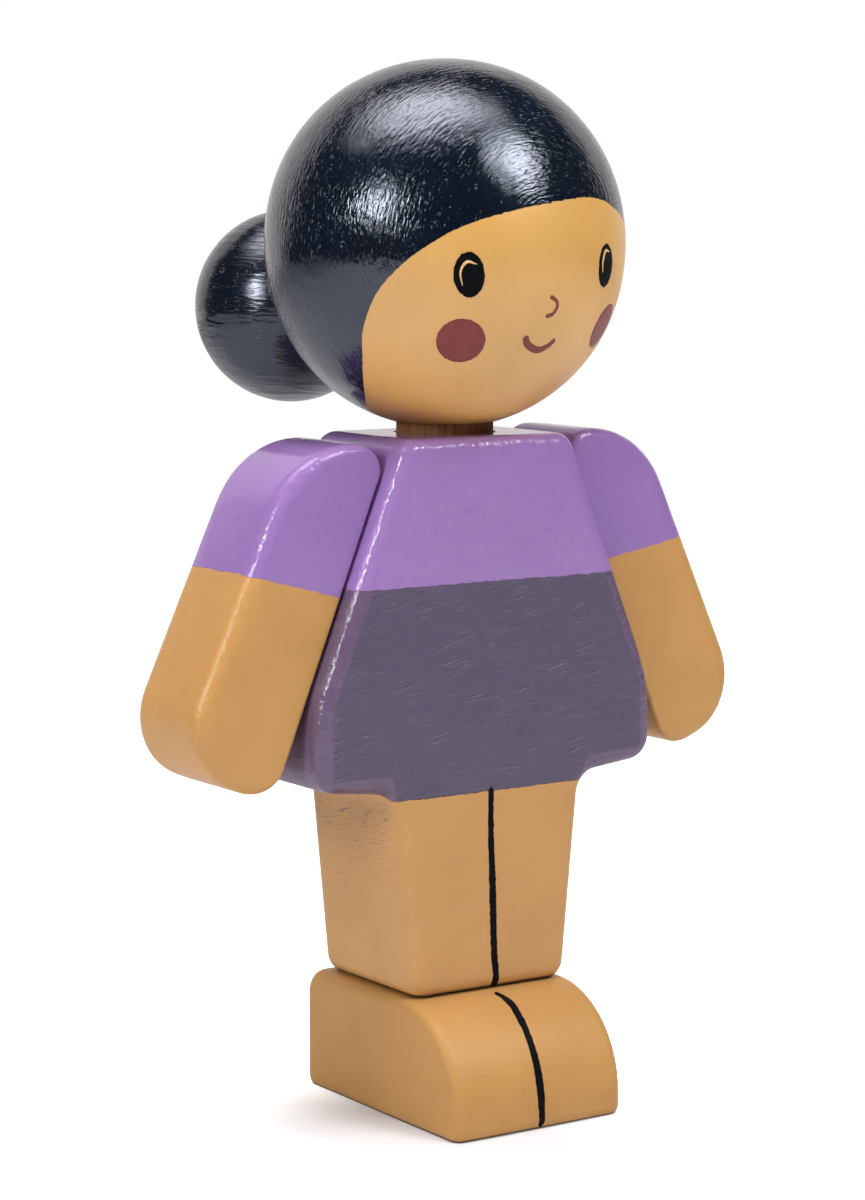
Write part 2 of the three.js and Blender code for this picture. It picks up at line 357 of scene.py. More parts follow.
def sheen(place, size, least, spread, seed=8.0):
    """Roughness that drifts upwards from the least by a spread."""
    return number_step("MULTIPLY_ADD", clouds(place, size, seed=seed), spread, least)


print("noise helpers ready")

# %% Relief
RIM = "rim"  # what a mesh calls its share of rounding: 1 amid a rim, 0 on the flats
SAG_SIZE = 1.8  # mm
RIDGE_SIZE = 1.1
PEEL_SIZE = 0.9
FINE_PEEL_SIZE = 0.32
FINE_PEEL = 0.35  # its depth, in depths of the broader peel


def read_attribute(tree, name, output):
    """Number or vector that the mesh keeps for each of its points."""
    return node("ShaderNodeAttribute", tree=tree, attribute_name=name).outputs[output]


def bump(height, depth, normal=None):
    """Surface relief of a height from 0 to 1, that depth in mm, on top of another relief."""
    inputs = {"Height": height, "Distance": depth * MM}
    if normal is not None:
        inputs["Normal"] = normal
    return node("ShaderNodeBump", inputs).outputs[0]


def brushed_rim(place, depth, normal):
    """Ridges that a brush leaves on the rounded rims alone, which break the light along them."""
    ridges = minus(clouds(place, RIDGE_SIZE, seed=14.0), 0.5)
    return bump(times(ridges, read_attribute(place.id_data, RIM, "Fac")), depth, normal)


def peel(place, depth, normal=None, sag=0.0):
    """Orange-peel skin of brushed or sprayed paint, which may have sagged by a depth as well."""
    if sag:
        normal = bump(clouds(place, SAG_SIZE, 1.0, seed=13.0), sag, normal)
    soft = bump(clouds(place, PEEL_SIZE, 1.0, seed=2.0), depth, normal)
    return bump(clouds(place, FINE_PEEL_SIZE, 1.0, seed=3.0), FINE_PEEL * depth, soft)


print("relief helpers ready")

# %% [markdown]
# ## The colours
# Skin is a warm tan, the shirt is lilac, the skirt a greyed plum and the hair a blue so dark that
# it looks black. A paint is kept as two near shades that the cloud pattern drifts between. The
# foot's tan is a little darker than that of the arms and legs, as painted shade, and the face's a
# little lighter, as painted light.

# %% Paint shades
SKIN = ((0.530, 0.270, 0.082), (0.590, 0.310, 0.096))
# the face's tan is lighter as painted light, the foot's below darker as painted shade
LIT_FACE_SKIN = ((0.665, 0.350, 0.082), (0.760, 0.416, 0.106))
SHADED_FOOT_SKIN = ((0.500, 0.255, 0.078), (0.555, 0.292, 0.092))
LILAC = ((0.325, 0.183, 0.455), (0.355, 0.205, 0.485))
SLEEVE_LILAC = ((0.295, 0.165, 0.425), (0.325, 0.185, 0.455))
PLUM = ((0.086, 0.066, 0.114), (0.102, 0.079, 0.133))
# pale plum of the painted highlight on the lip below a slit
PLUM_LIP_HIGHLIGHT = (0.150, 0.126, 0.190)
PLUM_RIM = ((0.125, 0.082, 0.142), (0.155, 0.104, 0.180))
NAVY = ((0.002, 0.004, 0.009), (0.004, 0.008, 0.019))
PORE_BROWN = (0.20, 0.105, 0.045)
# near-black painted shade, for the joint over the foot block and the line along the sole
PAINTED_SHADE_DARK = (0.012, 0.008, 0.006)
WOOD = ((0.33, 0.150, 0.052), (0.17, 0.070, 0.022))
INK_BLACK = ((0.003, 0.003, 0.004), (0.008, 0.008, 0.010))
INK_RED = ((0.180, 0.024, 0.022), (0.225, 0.036, 0.032))
INK_CREAM = ((0.72, 0.43, 0.15), (0.85, 0.58, 0.25))
SPECK_SHARE = 0.45  # of pore brown in a speck on the skin


def shade(place, pair, size=9.0):
    """Colour that drifts between the two shades of a paint."""
    return mixed(between(clouds(place, size, 3.0), 0.15, 0.85), *pair)


def skin_paint(place, pair=SKIN):
    """Tan paint with a few darker specks."""
    dots = specks(place, spacing=3.2, radius=0.16, share=0.35)
    return mixed(times(dots, SPECK_SHARE), shade(place, pair), PORE_BROWN)


print("skin, lilac, plum and navy mixed")

# %% [markdown]
# ## Blocks with rounded edges
# The board, the arms and the foot block were all sawn to an outline and then sanded round along
# both rims. A Bevel modifier would do it, but where arcs meet short sides it makes uneven strips.
# Here the outline is kept as true arcs: an inset of the outline only changes each arc's radius, so
# the rim is a stack of insets that stay perfectly parallel. A rim's section is a little tighter in
# its middle than a quarter circle, as sandpaper leaves it, which keeps the light along it thin. The
# mesh remembers which points lie on a rim, for the brush ridges of the paint.

# %% Outline of arcs
ARC_STEP = 6.0  # degrees between the points of an arc
LEAST_STEPS = 3
LEAST_REACH = 0.05  # mm, of an arc that its insets have used up
LEAST_CORNER = 1.05  # an outline's corner, in roundings of its rim
LEAST_STRAIGHT = 0.25  # what stays straight between two corners, in least corners


def corner_arcs(corners, least):
    """Centre, radius, first angle and turn of the arc at each corner (x, y, radius), anticlockwise."""
    points = np.array([corner[:2] for corner in corners], float)
    sides = np.roll(points, -1, axis=0) - points
    lengths = np.linalg.norm(sides, axis=1)
    ways = sides / lengths[:, None]
    arriving = np.roll(ways, 1, axis=0)
    turns = np.arctan2(np.cross(arriving, ways), np.sum(arriving * ways, axis=1))
    wanted = np.array([max(corner[2], least) for corner in corners]) * np.tan(np.abs(turns) / 2)
    room = lengths - LEAST_STRAIGHT * least
    shares = np.minimum(1, room / (wanted + np.roll(wanted, -1)))
    arcs = []
    for i, turn in enumerate(turns):
        tangent = wanted[i] * min(shares[i - 1], shares[i])
        radius = tangent / math.tan(abs(turn) / 2)
        inward = np.array([-arriving[i][1], arriving[i][0]]) * np.sign(turn)
        start = points[i] - arriving[i] * tangent
        first = math.atan2(-inward[1], -inward[0])
        arcs.append((start + inward * radius, radius, first, turn))
    return arcs


def ring(arcs, rims, inward, margin, thickness, down):
    """One ring of a rounded rim: a share of each corner's rim inwards and down from the flat."""
    points = []
    for (centre, radius, first, turn), (rim_before, rim_after) in zip(arcs, rims):
        steps = max(LEAST_STEPS, math.ceil(abs(math.degrees(turn)) / ARC_STEP))
        for share in np.linspace(0, 1, steps + 1):
            rim = rim_before + (rim_after - rim_before) * share**2 * (3 - 2 * share)
            inset = rim * inward + margin
            reach = max(radius - inset, LEAST_REACH) if turn > 0 else radius + inset
            angle = first + turn * share
            x, y = centre + reach * np.array([math.cos(angle), math.sin(angle)])
            points.append(Vector((x, y, thickness / 2 - rim * down)))
    return points


print("degrees between the points of an arc:", ARC_STEP)

# %% Rounded block
RIM_STEPS = 10  # strips in the rounding of a rim
RIM_FULLNESS = 2.7  # of its section: 2 is a quarter circle, more is tighter in the middle
FLAT_MARGIN = 0.25  # mm of flat beside a rim, which keeps the shading of the flat even


def rounded_block(corners, thickness, rims, plane):
    """Block of an outline in mm, laid into a plane. Rims are roundings before and after a corner."""
    arcs = corner_arcs(corners, LEAST_CORNER * max(min(pair) for pair in rims))
    front = []
    for angle in np.linspace(0, math.pi / 2, RIM_STEPS + 1):
        bends = abs(math.cos(angle)), abs(math.sin(angle))
        inward, down = (1 - bend ** (2 / RIM_FULLNESS) for bend in bends)
        front.append((math.sin(2 * angle), ring(arcs, rims, inward, 0, thickness, down)))
    front.append((0.0, ring(arcs, rims, 1, FLAT_MARGIN, thickness, 0)))
    back = [(share, [Vector((x, y, -depth)) for x, y, depth in row]) for share, row in reversed(front)]
    shape = bmesh.new()
    rounding = shape.verts.layers.float.new(RIM)
    rings = []
    for share, row in back + front:
        rings.append([shape.verts.new(plane @ point * MM) for point in row])
        for vert in rings[-1]:
            vert[rounding] = share
    for low, high in zip(rings, rings[1:]):
        for i in range(len(low)):
            shape.faces.new((low[i - 1], low[i], high[i], high[i - 1]))
    shape.faces.new(reversed(rings[0]))
    shape.faces.new(rings[-1])
    return shape


def plane_of(across, up, through, origin=(0, 0, 0)):
    """Matrix that lays x, y and depth along three directions from an origin."""
    matrix = Matrix((across, up, through)).transposed().to_4x4()
    matrix.translation = origin
    return matrix


print("strips in a rounded rim:", RIM_STEPS)

# %% Sawing and finishing
SHARP_EDGE = 32.0  # degrees
SAME_POINT = 1e-4  # mm


def saw_off(shape, point, way):
    """Takes off all that lies behind a plane at a point in mm, square to a way, and closes the cut."""
    parts = shape.verts[:] + shape.edges[:] + shape.faces[:]
    cut = bmesh.ops.bisect_plane(
        shape, geom=parts, plane_co=point * MM, plane_no=way, clear_inner=True
    )
    edges = [part for part in cut["geom_cut"] if isinstance(part, bmesh.types.BMEdge)]
    bmesh.ops.contextual_create(shape, geom=edges)


def level_below(shape, height):
    """Saws the shape off level at a height in mm."""
    saw_off(shape, Vector((0, 0, height)), Vector((0, 0, 1)))


def finish_mesh(shape, name, material):
    """Shape as an object with its faces outwards, smooth but for its sharp edges."""
    bmesh.ops.remove_doubles(shape, verts=shape.verts, dist=SAME_POINT * MM)
    bmesh.ops.recalc_face_normals(shape, faces=shape.faces)
    mesh = bpy.data.meshes.new(name)
    shape.to_mesh(mesh)
    shape.free()
    mesh.materials.append(material)
    mesh.shade_smooth()
    mesh.set_sharp_from_angle(angle=math.radians(SHARP_EDGE))
    return show(mesh, name)


def settle(piece):
    """Applies a piece's modifiers by taking over the mesh that they give."""
    graph = bpy.context.evaluated_depsgraph_get()
    mesh = bpy.data.meshes.new_from_object(piece.evaluated_get(graph), depsgraph=graph)
    piece.modifiers.clear()
    old = piece.data
    piece.data = mesh
    bpy.data.meshes.remove(old)
    mesh.name = piece.name
    return piece


print("edges stay sharp above", SHARP_EDGE, "degrees")

# %% [markdown]
# ## Bare wood and the drilled holes
# The parts are held together by dowels, and a hole shows its bare wood inside. A Boolean modifier
# drills each hole. Its cutter carries the wood material, and the transfer mode hands that on to
# the wall of the hole, while the painted surface keeps its paint.

# %% Bare wood
def make_wood():
    material, place = start_paint("bare_wood")
    grain = streaks(place, (0.5, 0.5, 7.0), detail=4.0)
    pores = between(streaks(place, (0.14, 0.14, 2.0), seed=3.0), 0.62, 0.7)
    tone = mixed(between(grain, 0.3, 0.75), *WOOD)
    return end_paint(material, {
        "Base Color": mixed(times(pores, 0.6), tone, PORE_BROWN),
        "Roughness": 0.7, "Specular IOR Level": 0.2,
        "Normal": bump(grain, depth=0.03),
    })


wood = make_wood()
print("wood material:", wood.name)

# %% Drilling
HOLE_SIDES = 64
ROD_TWIST = 0.021  # radians, so that no edge of a hole runs along an edge of a ball
DOWEL_FIT = 0.3  # mm of clearance round a dowel and at its end


def rod_mesh(name, diameter, start, end):
    """Plain round rod between two points in mm, as a cutter."""
    axis = end - start
    turn = axis.to_track_quat("Z", "Y").to_matrix().to_4x4() @ Matrix.Rotation(ROD_TWIST, 4, "Z")
    middle = Matrix.Translation((start + end) / 2 * MM)
    shape = bmesh.new()
    radius = diameter / 2 * MM
    bmesh.ops.create_cone(
        shape, cap_ends=True, segments=HOLE_SIDES, radius1=radius, radius2=radius,
        depth=axis.length * MM, matrix=middle @ turn,
    )
    return finish_mesh(shape, name, wood)


def drill(piece, holes):
    """Cuts the hole of each dowel (diameter, start, end) out of a piece, with its clearance."""
    cutters = []
    for diameter, start, end in holes:
        run = (end - start).normalized() * DOWEL_FIT
        cutters.append(rod_mesh("cutter", diameter + 2 * DOWEL_FIT, start - run, end + run))
        tool = piece.modifiers.new("hole", "BOOLEAN")
        tool.object = cutters[-1]
        tool.operation = "DIFFERENCE"
        tool.solver = "EXACT"
        tool.material_mode = "TRANSFER"
    settle(piece)
    for cutter in cutters:
        mesh = cutter.data
        bpy.data.objects.remove(cutter)
        bpy.data.meshes.remove(mesh)
    piece.data.set_sharp_from_angle(angle=math.radians(SHARP_EDGE))
    return piece


print("clearance round a dowel in mm:", DOWEL_FIT)

# %% [markdown]
# ## Sizes that the pieces share
# The frame gives the overall boxes. The lean of the board's sides, the arms and the dowels all hang
# together, so their few driving sizes are named here once, in millimetres, and the rest is worked
# out from them.

# %% Shared sizes
foot_low, foot_high = (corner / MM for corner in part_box("foot_block"))
body_low, body_high = (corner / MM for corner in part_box("body_board"))
head_low, head_high = (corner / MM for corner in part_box("head_ball"))
FOOT_HEIGHT = foot_high.z
BODY_TOP = body_high.z
SKIRT_WIDTH = body_high.x - body_low.x
BOARD_DEPTH = body_high.y - body_low.y
LEG_LENGTH = 26.7  # from the foot block to the corner of the hem
HEM_LEVEL = FOOT_HEIGHT + LEG_LENGTH
HEM_DROP = 1.2  # of the step under the skirt, from its side to the leg
SKIRT_UPRIGHT = 9.7  # from the hem up to where the side starts to lean in
BEND_LEVEL = HEM_LEVEL + SKIRT_UPRIGHT
HIP_WIDTH = 27.9
SHOULDER_WIDTH = 24.7
LEAN = math.atan2((SKIRT_WIDTH - SHOULDER_WIDTH) / 2, BODY_TOP - BEND_LEVEL)
HEAD_WIDTH = head_high.x - head_low.x
NECK_SHOW = 0.9  # from the body's top to the lowest point of the ball
HEAD_BOTTOM = BODY_TOP + NECK_SHOW  # before the neck's hole takes off the lowest part
HEAD_HEIGHT = head_high.z - HEAD_BOTTOM
HEAD_CENTRE = Vector((0, 0, HEAD_BOTTOM + HEAD_HEIGHT / 2))
HEAD_FULLNESS = 2.05  # of its section: 2 is an ellipse, more is squarer
print("board height and width in mm:", round(BODY_TOP - FOOT_HEIGHT, 1), round(SKIRT_WIDTH, 1))

# %% Dowel holes
NECK_DIAMETER = 12.0
NECK_IN_BODY = 10.0
NECK_IN_HEAD = 15.0
SMALL_DOWEL = 6.0
ANKLE_SPACING = 11.0
ANKLE_IN_FOOT = 8.0
ANKLE_IN_LEG = 10.0
SHOULDER_DROP = 12.0  # down the slanted side to the dowel
SHOULDER_IN_BODY = 9.0
SHOULDER_IN_ARM = 7.0
ARM_GAP = 0.3  # between an arm and the body


def upright_dowel(diameter, x, low, high):
    """Diameter and two ends of a dowel that stands upright."""
    return diameter, Vector((x, 0, low)), Vector((x, 0, high))


def shoulder(side):
    """Origin and directions at one shoulder: out of the slanted side, and up along it."""
    out = Vector((side * math.cos(LEAN), 0, math.sin(LEAN)))
    up = Vector((-side * math.sin(LEAN), 0, math.cos(LEAN)))
    x = SHOULDER_WIDTH / 2 + SHOULDER_DROP * math.sin(LEAN)
    origin = Vector((side * x, 0, BODY_TOP - SHOULDER_DROP * math.cos(LEAN)))
    return origin, out, up


def shoulder_hole(side):
    """Diameter and two ends of a shoulder's dowel."""
    origin, out, _ = shoulder(side)
    return SMALL_DOWEL, origin - out * SHOULDER_IN_BODY, origin + out * (ARM_GAP + SHOULDER_IN_ARM)


neck_hole = upright_dowel(NECK_DIAMETER, 0, BODY_TOP - NECK_IN_BODY, HEAD_BOTTOM + NECK_IN_HEAD)
ankle_holes = [
    upright_dowel(SMALL_DOWEL, x, FOOT_HEIGHT - ANKLE_IN_FOOT, FOOT_HEIGHT + ANKLE_IN_LEG)
    for x in (-ANKLE_SPACING / 2, ANKLE_SPACING / 2)
]
print("lean of the shoulders in degrees:", round(math.degrees(LEAN), 1))

# %% [markdown]
# ## The body board
# One board is shirt, skirt and both legs. The three paints meet in two level lines that were
# masked by hand, so they wander a little. On the front the skirt's paint runs down over the top of
# the legs, while beside the legs it stops at the step under the skirt. The plum was laid on the
# flat face only: on the rounded rims a more purple shade comes through, and the wood's grain
# shows as fine slanted slits, with painted shade in each slit and a painted highlight on the lip
# below it. The sides of the legs were painted thinly, so brown pores show there; their brown grows
# towards the skirt, partly as painted shade under it, and the joint over the foot block is painted
# dark as its shade. All of this is one material that works out from the place on the board which
# paint is due.

# %% Parts of the dress
WAIST_LEVEL = 65.9  # mm
FRONT_HEM = 40.05
SIDE_HEM = 41.0
MASK_EDGE = 0.06  # mm either side of a masked line
FRONT_FACE = BOARD_DEPTH / 2
RIM_BAND = 1.95  # mm from the outline that the face's plum leaves free
RIM_BAND_EDGE = 0.07


def at_edge(value, edge, width=MASK_EDGE):
    """0 below an edge in mm and 1 above it."""
    return between(value, edge - width, edge + width)


def skirt_edge_distance(axes):
    """Distance in mm from the skirt's outline, its sides and the step above the legs."""
    from_side = number_step("ABSOLUTE", axes["X"])
    above_bend = number_step("MAXIMUM", minus(axes["Z"], BEND_LEVEL), 0.0)
    narrowed = number_step("MULTIPLY_ADD", above_bend, -math.tan(LEAN), SKIRT_WIDTH / 2)
    across = times(minus(narrowed, from_side), math.cos(LEAN))
    over_step = minus(axes["Z"], HEM_LEVEL - HEM_DROP / 2)
    over_legs = between(from_side, HIP_WIDTH / 2 - 1, HIP_WIDTH / 2 + 1, RIM_BAND * 2, 0.0)
    return number_step("MINIMUM", across, plus(over_step, over_legs))


def dress_parts(place, axes):
    """Shares of shirt, dress, skirt, the skirt's flat face and the board's sides."""
    height = plus(axes["Z"], wander(place, reach=0.14, size=1.1))
    depth = number_step("ABSOLUTE", axes["Y"])
    hem = between(depth, FRONT_FACE - 1.3, FRONT_FACE - 0.7, SIDE_HEM, FRONT_HEM)
    from_edge = plus(skirt_edge_distance(axes), wander(place, reach=0.10, size=2.2))
    on_front = between(depth, FRONT_FACE - 0.5, FRONT_FACE - 0.1)
    parts = {
        "shirt": at_edge(height, WAIST_LEVEL),
        "dress": at_edge(minus(height, hem), 0.0),
        "face": times(on_front, at_edge(from_edge, RIM_BAND, RIM_BAND_EDGE)),
        "side": between(depth, FRONT_FACE - 1.6, FRONT_FACE - 2.4),
    }
    parts["skirt"] = minus(parts["dress"], parts["shirt"])
    return parts


print("dress paint meets at heights in mm:", FRONT_HEM, WAIST_LEVEL)

# %% Plum and leg paint
GRAIN_TURN = (0, 12, 0)  # degrees, of the skirt's slits
SLIT_SIZE = (3.4, 2.0, 0.30)  # mm
# slits are darkened as painted shade, and the lip below each is lightened as a painted highlight
SLIT_LIP = 0.26  # mm from the middle of a slit to the pale lip below it
SLIT_SHADE = 0.30  # share of black in a slit
LIP_HIGHLIGHT = 0.22  # share of the pale shade on a lip
PORE_SIZE = (0.3, 2.2, 0.20)  # mm
PORE_TURN = (12, 0, 0)  # degrees
# the pore brown grows towards the hem, partly as painted shade under the skirt
PORE_AND_SHADE_LEVELS = (22.0, 40.0)  # mm, heights at which the legs have least and most pores
# painted shade in the crevice where the legs meet the foot block
JOINT_SHADOW_LINE = (0.26, 0.66)  # mm above the foot block, where the dark of the joint ends


def grain_slits(place, patches):
    """Slits of open grain, in patches."""
    grain = streaks(place, SLIT_SIZE, GRAIN_TURN, detail=1.5)
    return times(between(grain, 0.56, 0.72), patches)


def plum_paint(place, on_face, slits, lit_lips, grain):
    """Plum with painted shade in its slits and painted highlights on their lips, and purpler plum on the
    rims.
    """
    fine = mixed(between(grain, 0.25, 0.75), *PLUM)
    fine = mixed(0.5, fine, shade(place, PLUM, 6.0))
    # painted highlight on the lips, then painted shade in the slits
    fine = mixed(times(lit_lips, LIP_HIGHLIGHT), fine, PLUM_LIP_HIGHLIGHT)
    flat = mixed(times(slits, SLIT_SHADE), fine, INK_BLACK[1])
    return mixed(on_face, shade(place, PLUM_RIM, 3.0), flat)


def leg_paint(place, axes, on_side):
    """Skin paint with brown pores at the sides, more near the hem partly as painted shade, and painted
    shade in the joint over the foot block.
    """
    pores = between(streaks(place, PORE_SIZE, PORE_TURN, 3.0, seed=4.0), 0.54, 0.70)
    # more pore brown near the hem: real pores, and partly painted shade under the skirt
    pores_and_shade_near_hem = between(axes["Z"], *PORE_AND_SHADE_LEVELS, 0.12, 0.85)
    skin = mixed(times(pores, pores_and_shade_near_hem, on_side), skin_paint(place), PORE_BROWN)
    # painted shade: the legs darken towards the foot block, where the crevice lies in shadow
    joint_shadow = between(axes["Z"], *(FOOT_HEIGHT + level for level in JOINT_SHADOW_LINE), 0.98, 0.0)
    return mixed(joint_shadow, skin, PAINTED_SHADE_DARK)


print("slits in mm:", SLIT_SIZE)

# %% Dress paint
PAINT_LAYER = 0.05  # mm, one coat over another
RIM_RIDGE = 0.22  # mm, ridges of the brush on the rims
GLOSS = (0.06, 0.12)  # least roughness of the gloss on shirt and rims, and its spread
DULLER = {"face": 0.26, "side": 0.27, "legs": 0.25}  # roughness added away from them


def make_dress_paint():
    material, place = start_paint("dress_paint")
    axes = node("ShaderNodeSeparateXYZ", {0: place}).outputs
    parts = dress_parts(place, axes)
    patches = between(clouds(place, 3.5, seed=7.0), 0.40, 0.56)
    # the slits moved down give the lips, which take a painted highlight
    below = vector_step("ADD", place, (0, 0, SLIT_LIP))
    slits, lit_lips = (grain_slits(spot, patches) for spot in (place, below))
    ridges = streaks(place, (5.0, 3.0, 0.75), GRAIN_TURN, seed=11.0)
    grain = streaks(place, (0.7, 0.5, 0.25), GRAIN_TURN, 3.0, seed=9.0)
    plum = plum_paint(place, parts["face"], slits, lit_lips, grain)
    dress = mixed(parts["shirt"], plum, shade(place, LILAC, 14.0))
    legs = leg_paint(place, axes, parts["side"])
    rough = sheen(place, 5.0, *GLOSS)
    for part in ("face", "side"):
        rough = plus(rough, times(parts["skirt"], parts[part], DULLER[part]))
    rough = plus(rough, times(minus(1.0, parts["dress"]), DULLER["legs"]))
    dents = times(slits, parts["skirt"], parts["face"])
    relief = bump(minus(1.0, dents), depth=0.09)
    relief = bump(times(ridges, parts["skirt"]), depth=0.10, normal=relief)
    relief = bump(times(grain, parts["skirt"]), depth=0.045, normal=relief)
    relief = bump(plus(parts["dress"], parts["shirt"]), PAINT_LAYER, relief)
    relief = brushed_rim(place, RIM_RIDGE, relief)
    return end_paint(material, {
        "Base Color": mixed(parts["dress"], legs, dress),
        "Roughness": rough,
        "Normal": peel(place, 0.013, relief, sag=0.06),
    })


dress_paint = make_dress_paint()
print("dress paint nodes:", len(dress_paint.node_tree.nodes))

# %% Body board
BODY_EDGE = 2.2  # mm, rounding along front and back
BODY_CORNER = 2.6
HIP_FILLET = 3.0
HEM_CORNER = 3.2
SKIRT_BEND = 20.0
ANKLE_WIDTH = 22.9
LEG_TRIM = 0.25  # sanded off below
TOP_RISE = 0.4  # of the shirt's top over the solid's, nearer to the head


def make_body():
    taper = (HIP_WIDTH - ANKLE_WIDTH) / 2 / LEG_LENGTH
    left_side = [
        (ANKLE_WIDTH / 2 - taper * LEG_TRIM, FOOT_HEIGHT - LEG_TRIM, BODY_CORNER),
        (HIP_WIDTH / 2, HEM_LEVEL - HEM_DROP, HIP_FILLET),
        (SKIRT_WIDTH / 2, HEM_LEVEL, HEM_CORNER),
        (SKIRT_WIDTH / 2, BEND_LEVEL, SKIRT_BEND),
        (SHOULDER_WIDTH / 2 - TOP_RISE * math.tan(LEAN), BODY_TOP + TOP_RISE, BODY_CORNER),
    ]
    right_side = [(-x, z, radius) for x, z, radius in reversed(left_side)]
    outline = left_side + right_side
    front = plane_of((1, 0, 0), (0, 0, 1), (0, -1, 0))
    shape = rounded_block(outline, BOARD_DEPTH, [(BODY_EDGE, BODY_EDGE)] * len(outline), front)
    level_below(shape, FOOT_HEIGHT)
    board = finish_mesh(shape, "painted_board", dress_paint)
    return drill(board, [neck_hole, shoulder_hole(1), shoulder_hole(-1), *ankle_holes])


body = make_body()
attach(body, "torso")
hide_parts("body_board")
print("body faces:", len(body.data.polygons))

# %% [markdown]
# ## The arms
# Each arm is a block that lies along the slanted side, with a large round at the shoulder and a
# softer one at the hand. The sleeve was dipped or masked nearly square across the arm, at a small
# slant that differs between the two arms. The rims are rounded well on the outside and hardly at
# all against the body, so their rounding changes along both ends.

# %% Sleeve paint
SLEEVES = {"left": (1, -5.3, 0.20), "right": (-1, -7.7, 0.115)}  # side, level up the arm in mm, slant
SLEEVE_GLOSS = -0.27  # what the sleeve's roughness has over the skin's
BRUSH_TURN = 22.0  # degrees, of the brush marks


def make_sleeve_paint(name, side, level, slant):
    material, place = start_paint(f"{name}_sleeve_paint")
    origin, out, up = shoulder(side)
    across = up + out * slant
    along = vector_step("DOT_PRODUCT", place, across)
    height = plus(along, wander(place, reach=0.14, size=1.3))
    is_sleeve = at_edge(height, level + origin.dot(across))
    lilac = shade(place, SLEEVE_LILAC, 12.0)
    rough = sheen(place, 4.0, least=0.31, spread=0.12)
    brushed = streaks(place, (2.4, 2.4, 0.30), (0, side * BRUSH_TURN, 0), detail=3.0)
    relief = bump(is_sleeve, PAINT_LAYER, bump(brushed, depth=0.014))
    relief = brushed_rim(place, RIM_RIDGE, relief)
    return end_paint(material, {
        "Base Color": mixed(is_sleeve, skin_paint(place), lilac),
        "Roughness": number_step("MULTIPLY_ADD", is_sleeve, SLEEVE_GLOSS, rough),
        "Specular IOR Level": 0.4,
        "Normal": peel(place, 0.014, relief, sag=0.06),
    })


print("sleeves end up the arm in mm at:", ", ".join(f"{name} {SLEEVES[name][1]}" for name in SLEEVES))

# %% Arms
ARM_LENGTH = 45.5  # mm
ARM_DEPTH = 15.2
ARM_TOP = 11.9  # thickness at the shoulder
ARM_END = 14.2  # thickness at the hand
ARM_EDGE = 2.6  # rounding of the outer rims
ARM_INNER_EDGE = 0.7  # where it lies against the body
ARM_END_EDGE = 1.7  # across its two ends, between the other two
ARM_CORNER = 3.2
SHOULDER_RADIUS = 13.0
HAND_RADIUS = 8.2
HAND_CORNER = 4.2
ARM_RISE = {"left": 0.55, "right": 0.0}  # that the block sits higher on its dowel


def make_arm(name, side, level, slant):
    origin, out, up = shoulder(side)
    top = SHOULDER_DROP + ARM_RISE[name]
    end = top - ARM_LENGTH
    lean = math.tan(LEAN)
    taper = (ARM_END - ARM_TOP) / ARM_LENGTH
    outer_top = (ARM_GAP + ARM_TOP) / (1 - taper * lean)
    outline = [
        (ARM_GAP, end, HAND_CORNER),
        (ARM_GAP + ARM_END, end, HAND_RADIUS),
        (outer_top, top - outer_top * lean, SHOULDER_RADIUS),
        (ARM_GAP, top - ARM_GAP * lean, ARM_CORNER),
    ]
    edges = [ARM_INNER_EDGE, ARM_END_EDGE, ARM_EDGE, ARM_END_EDGE, ARM_INNER_EDGE]
    side_plane = plane_of(out, up, out.cross(up), origin)
    shape = rounded_block(outline, ARM_DEPTH, list(zip(edges, edges[1:])), side_plane)
    arm = finish_mesh(shape, f"painted_{name}_arm", make_sleeve_paint(name, side, level, slant))
    return drill(arm, [shoulder_hole(side)])


for name, (side, level, slant) in SLEEVES.items():
    arm = make_arm(name, side, level, slant)
    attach(arm, f"arm_on_{name}")
    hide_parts(f"{name}_arm")
    print(arm.name, "faces:", len(arm.data.polygons))

# %% [markdown]
# ## The foot block
# One block serves as both feet. Its outline is drawn from the side, with a quarter round over the
# toes, and a tan like that of the legs is brushed on from side to side. A dark line along the sole
# is painted shade, where the block meets the floor.

# %% Foot block
TOE_RADIUS = 12.5  # mm
HEEL_RADIUS = 3.5
FOOT_EDGE = 1.8
SOLE_TRIM = 0.6  # sanded off below
# painted shade along the sole, where the block meets the floor
SOLE_SHADOW_LINE = (0.08, 0.34)  # mm, heights between which the dark of the sole ends


def make_skin_material():
    material, place = start_paint("skin_paint")
    height = node("ShaderNodeSeparateXYZ", {0: place}).outputs["Z"]
    # painted shade: a dark line at the foot of the block
    sole_shadow = between(height, *SOLE_SHADOW_LINE, 0.85, 0.0)
    brushed = bump(streaks(place, (5.0, 0.6, 0.6), detail=3.0), depth=0.05)
    return end_paint(material, {
        # the foot's darker tan is painted shade
        "Base Color": mixed(sole_shadow, skin_paint(place, SHADED_FOOT_SKIN), PAINTED_SHADE_DARK),
        "Roughness": sheen(place, 4.0, least=0.34, spread=0.16),
        "Specular IOR Level": 0.24,
        "Normal": peel(place, 0.022, brushed),
    })


def make_foot():
    outline = [
        (foot_low.y, -SOLE_TRIM, FOOT_EDGE),
        (foot_high.y, -SOLE_TRIM, FOOT_EDGE),
        (foot_high.y, FOOT_HEIGHT, HEEL_RADIUS),
        (foot_low.y, FOOT_HEIGHT, TOE_RADIUS),
    ]
    from_side = plane_of((0, 1, 0), (0, 0, 1), (1, 0, 0))
    rims = [(FOOT_EDGE, FOOT_EDGE)] * len(outline)
    shape = rounded_block(outline, foot_high.x - foot_low.x, rims, from_side)
    level_below(shape, 0)
    return drill(finish_mesh(shape, "painted_foot", make_skin_material()), ankle_holes)


foot = make_foot()
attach(foot, "torso")
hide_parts("foot_block")
print("foot faces:", len(foot.data.polygons))

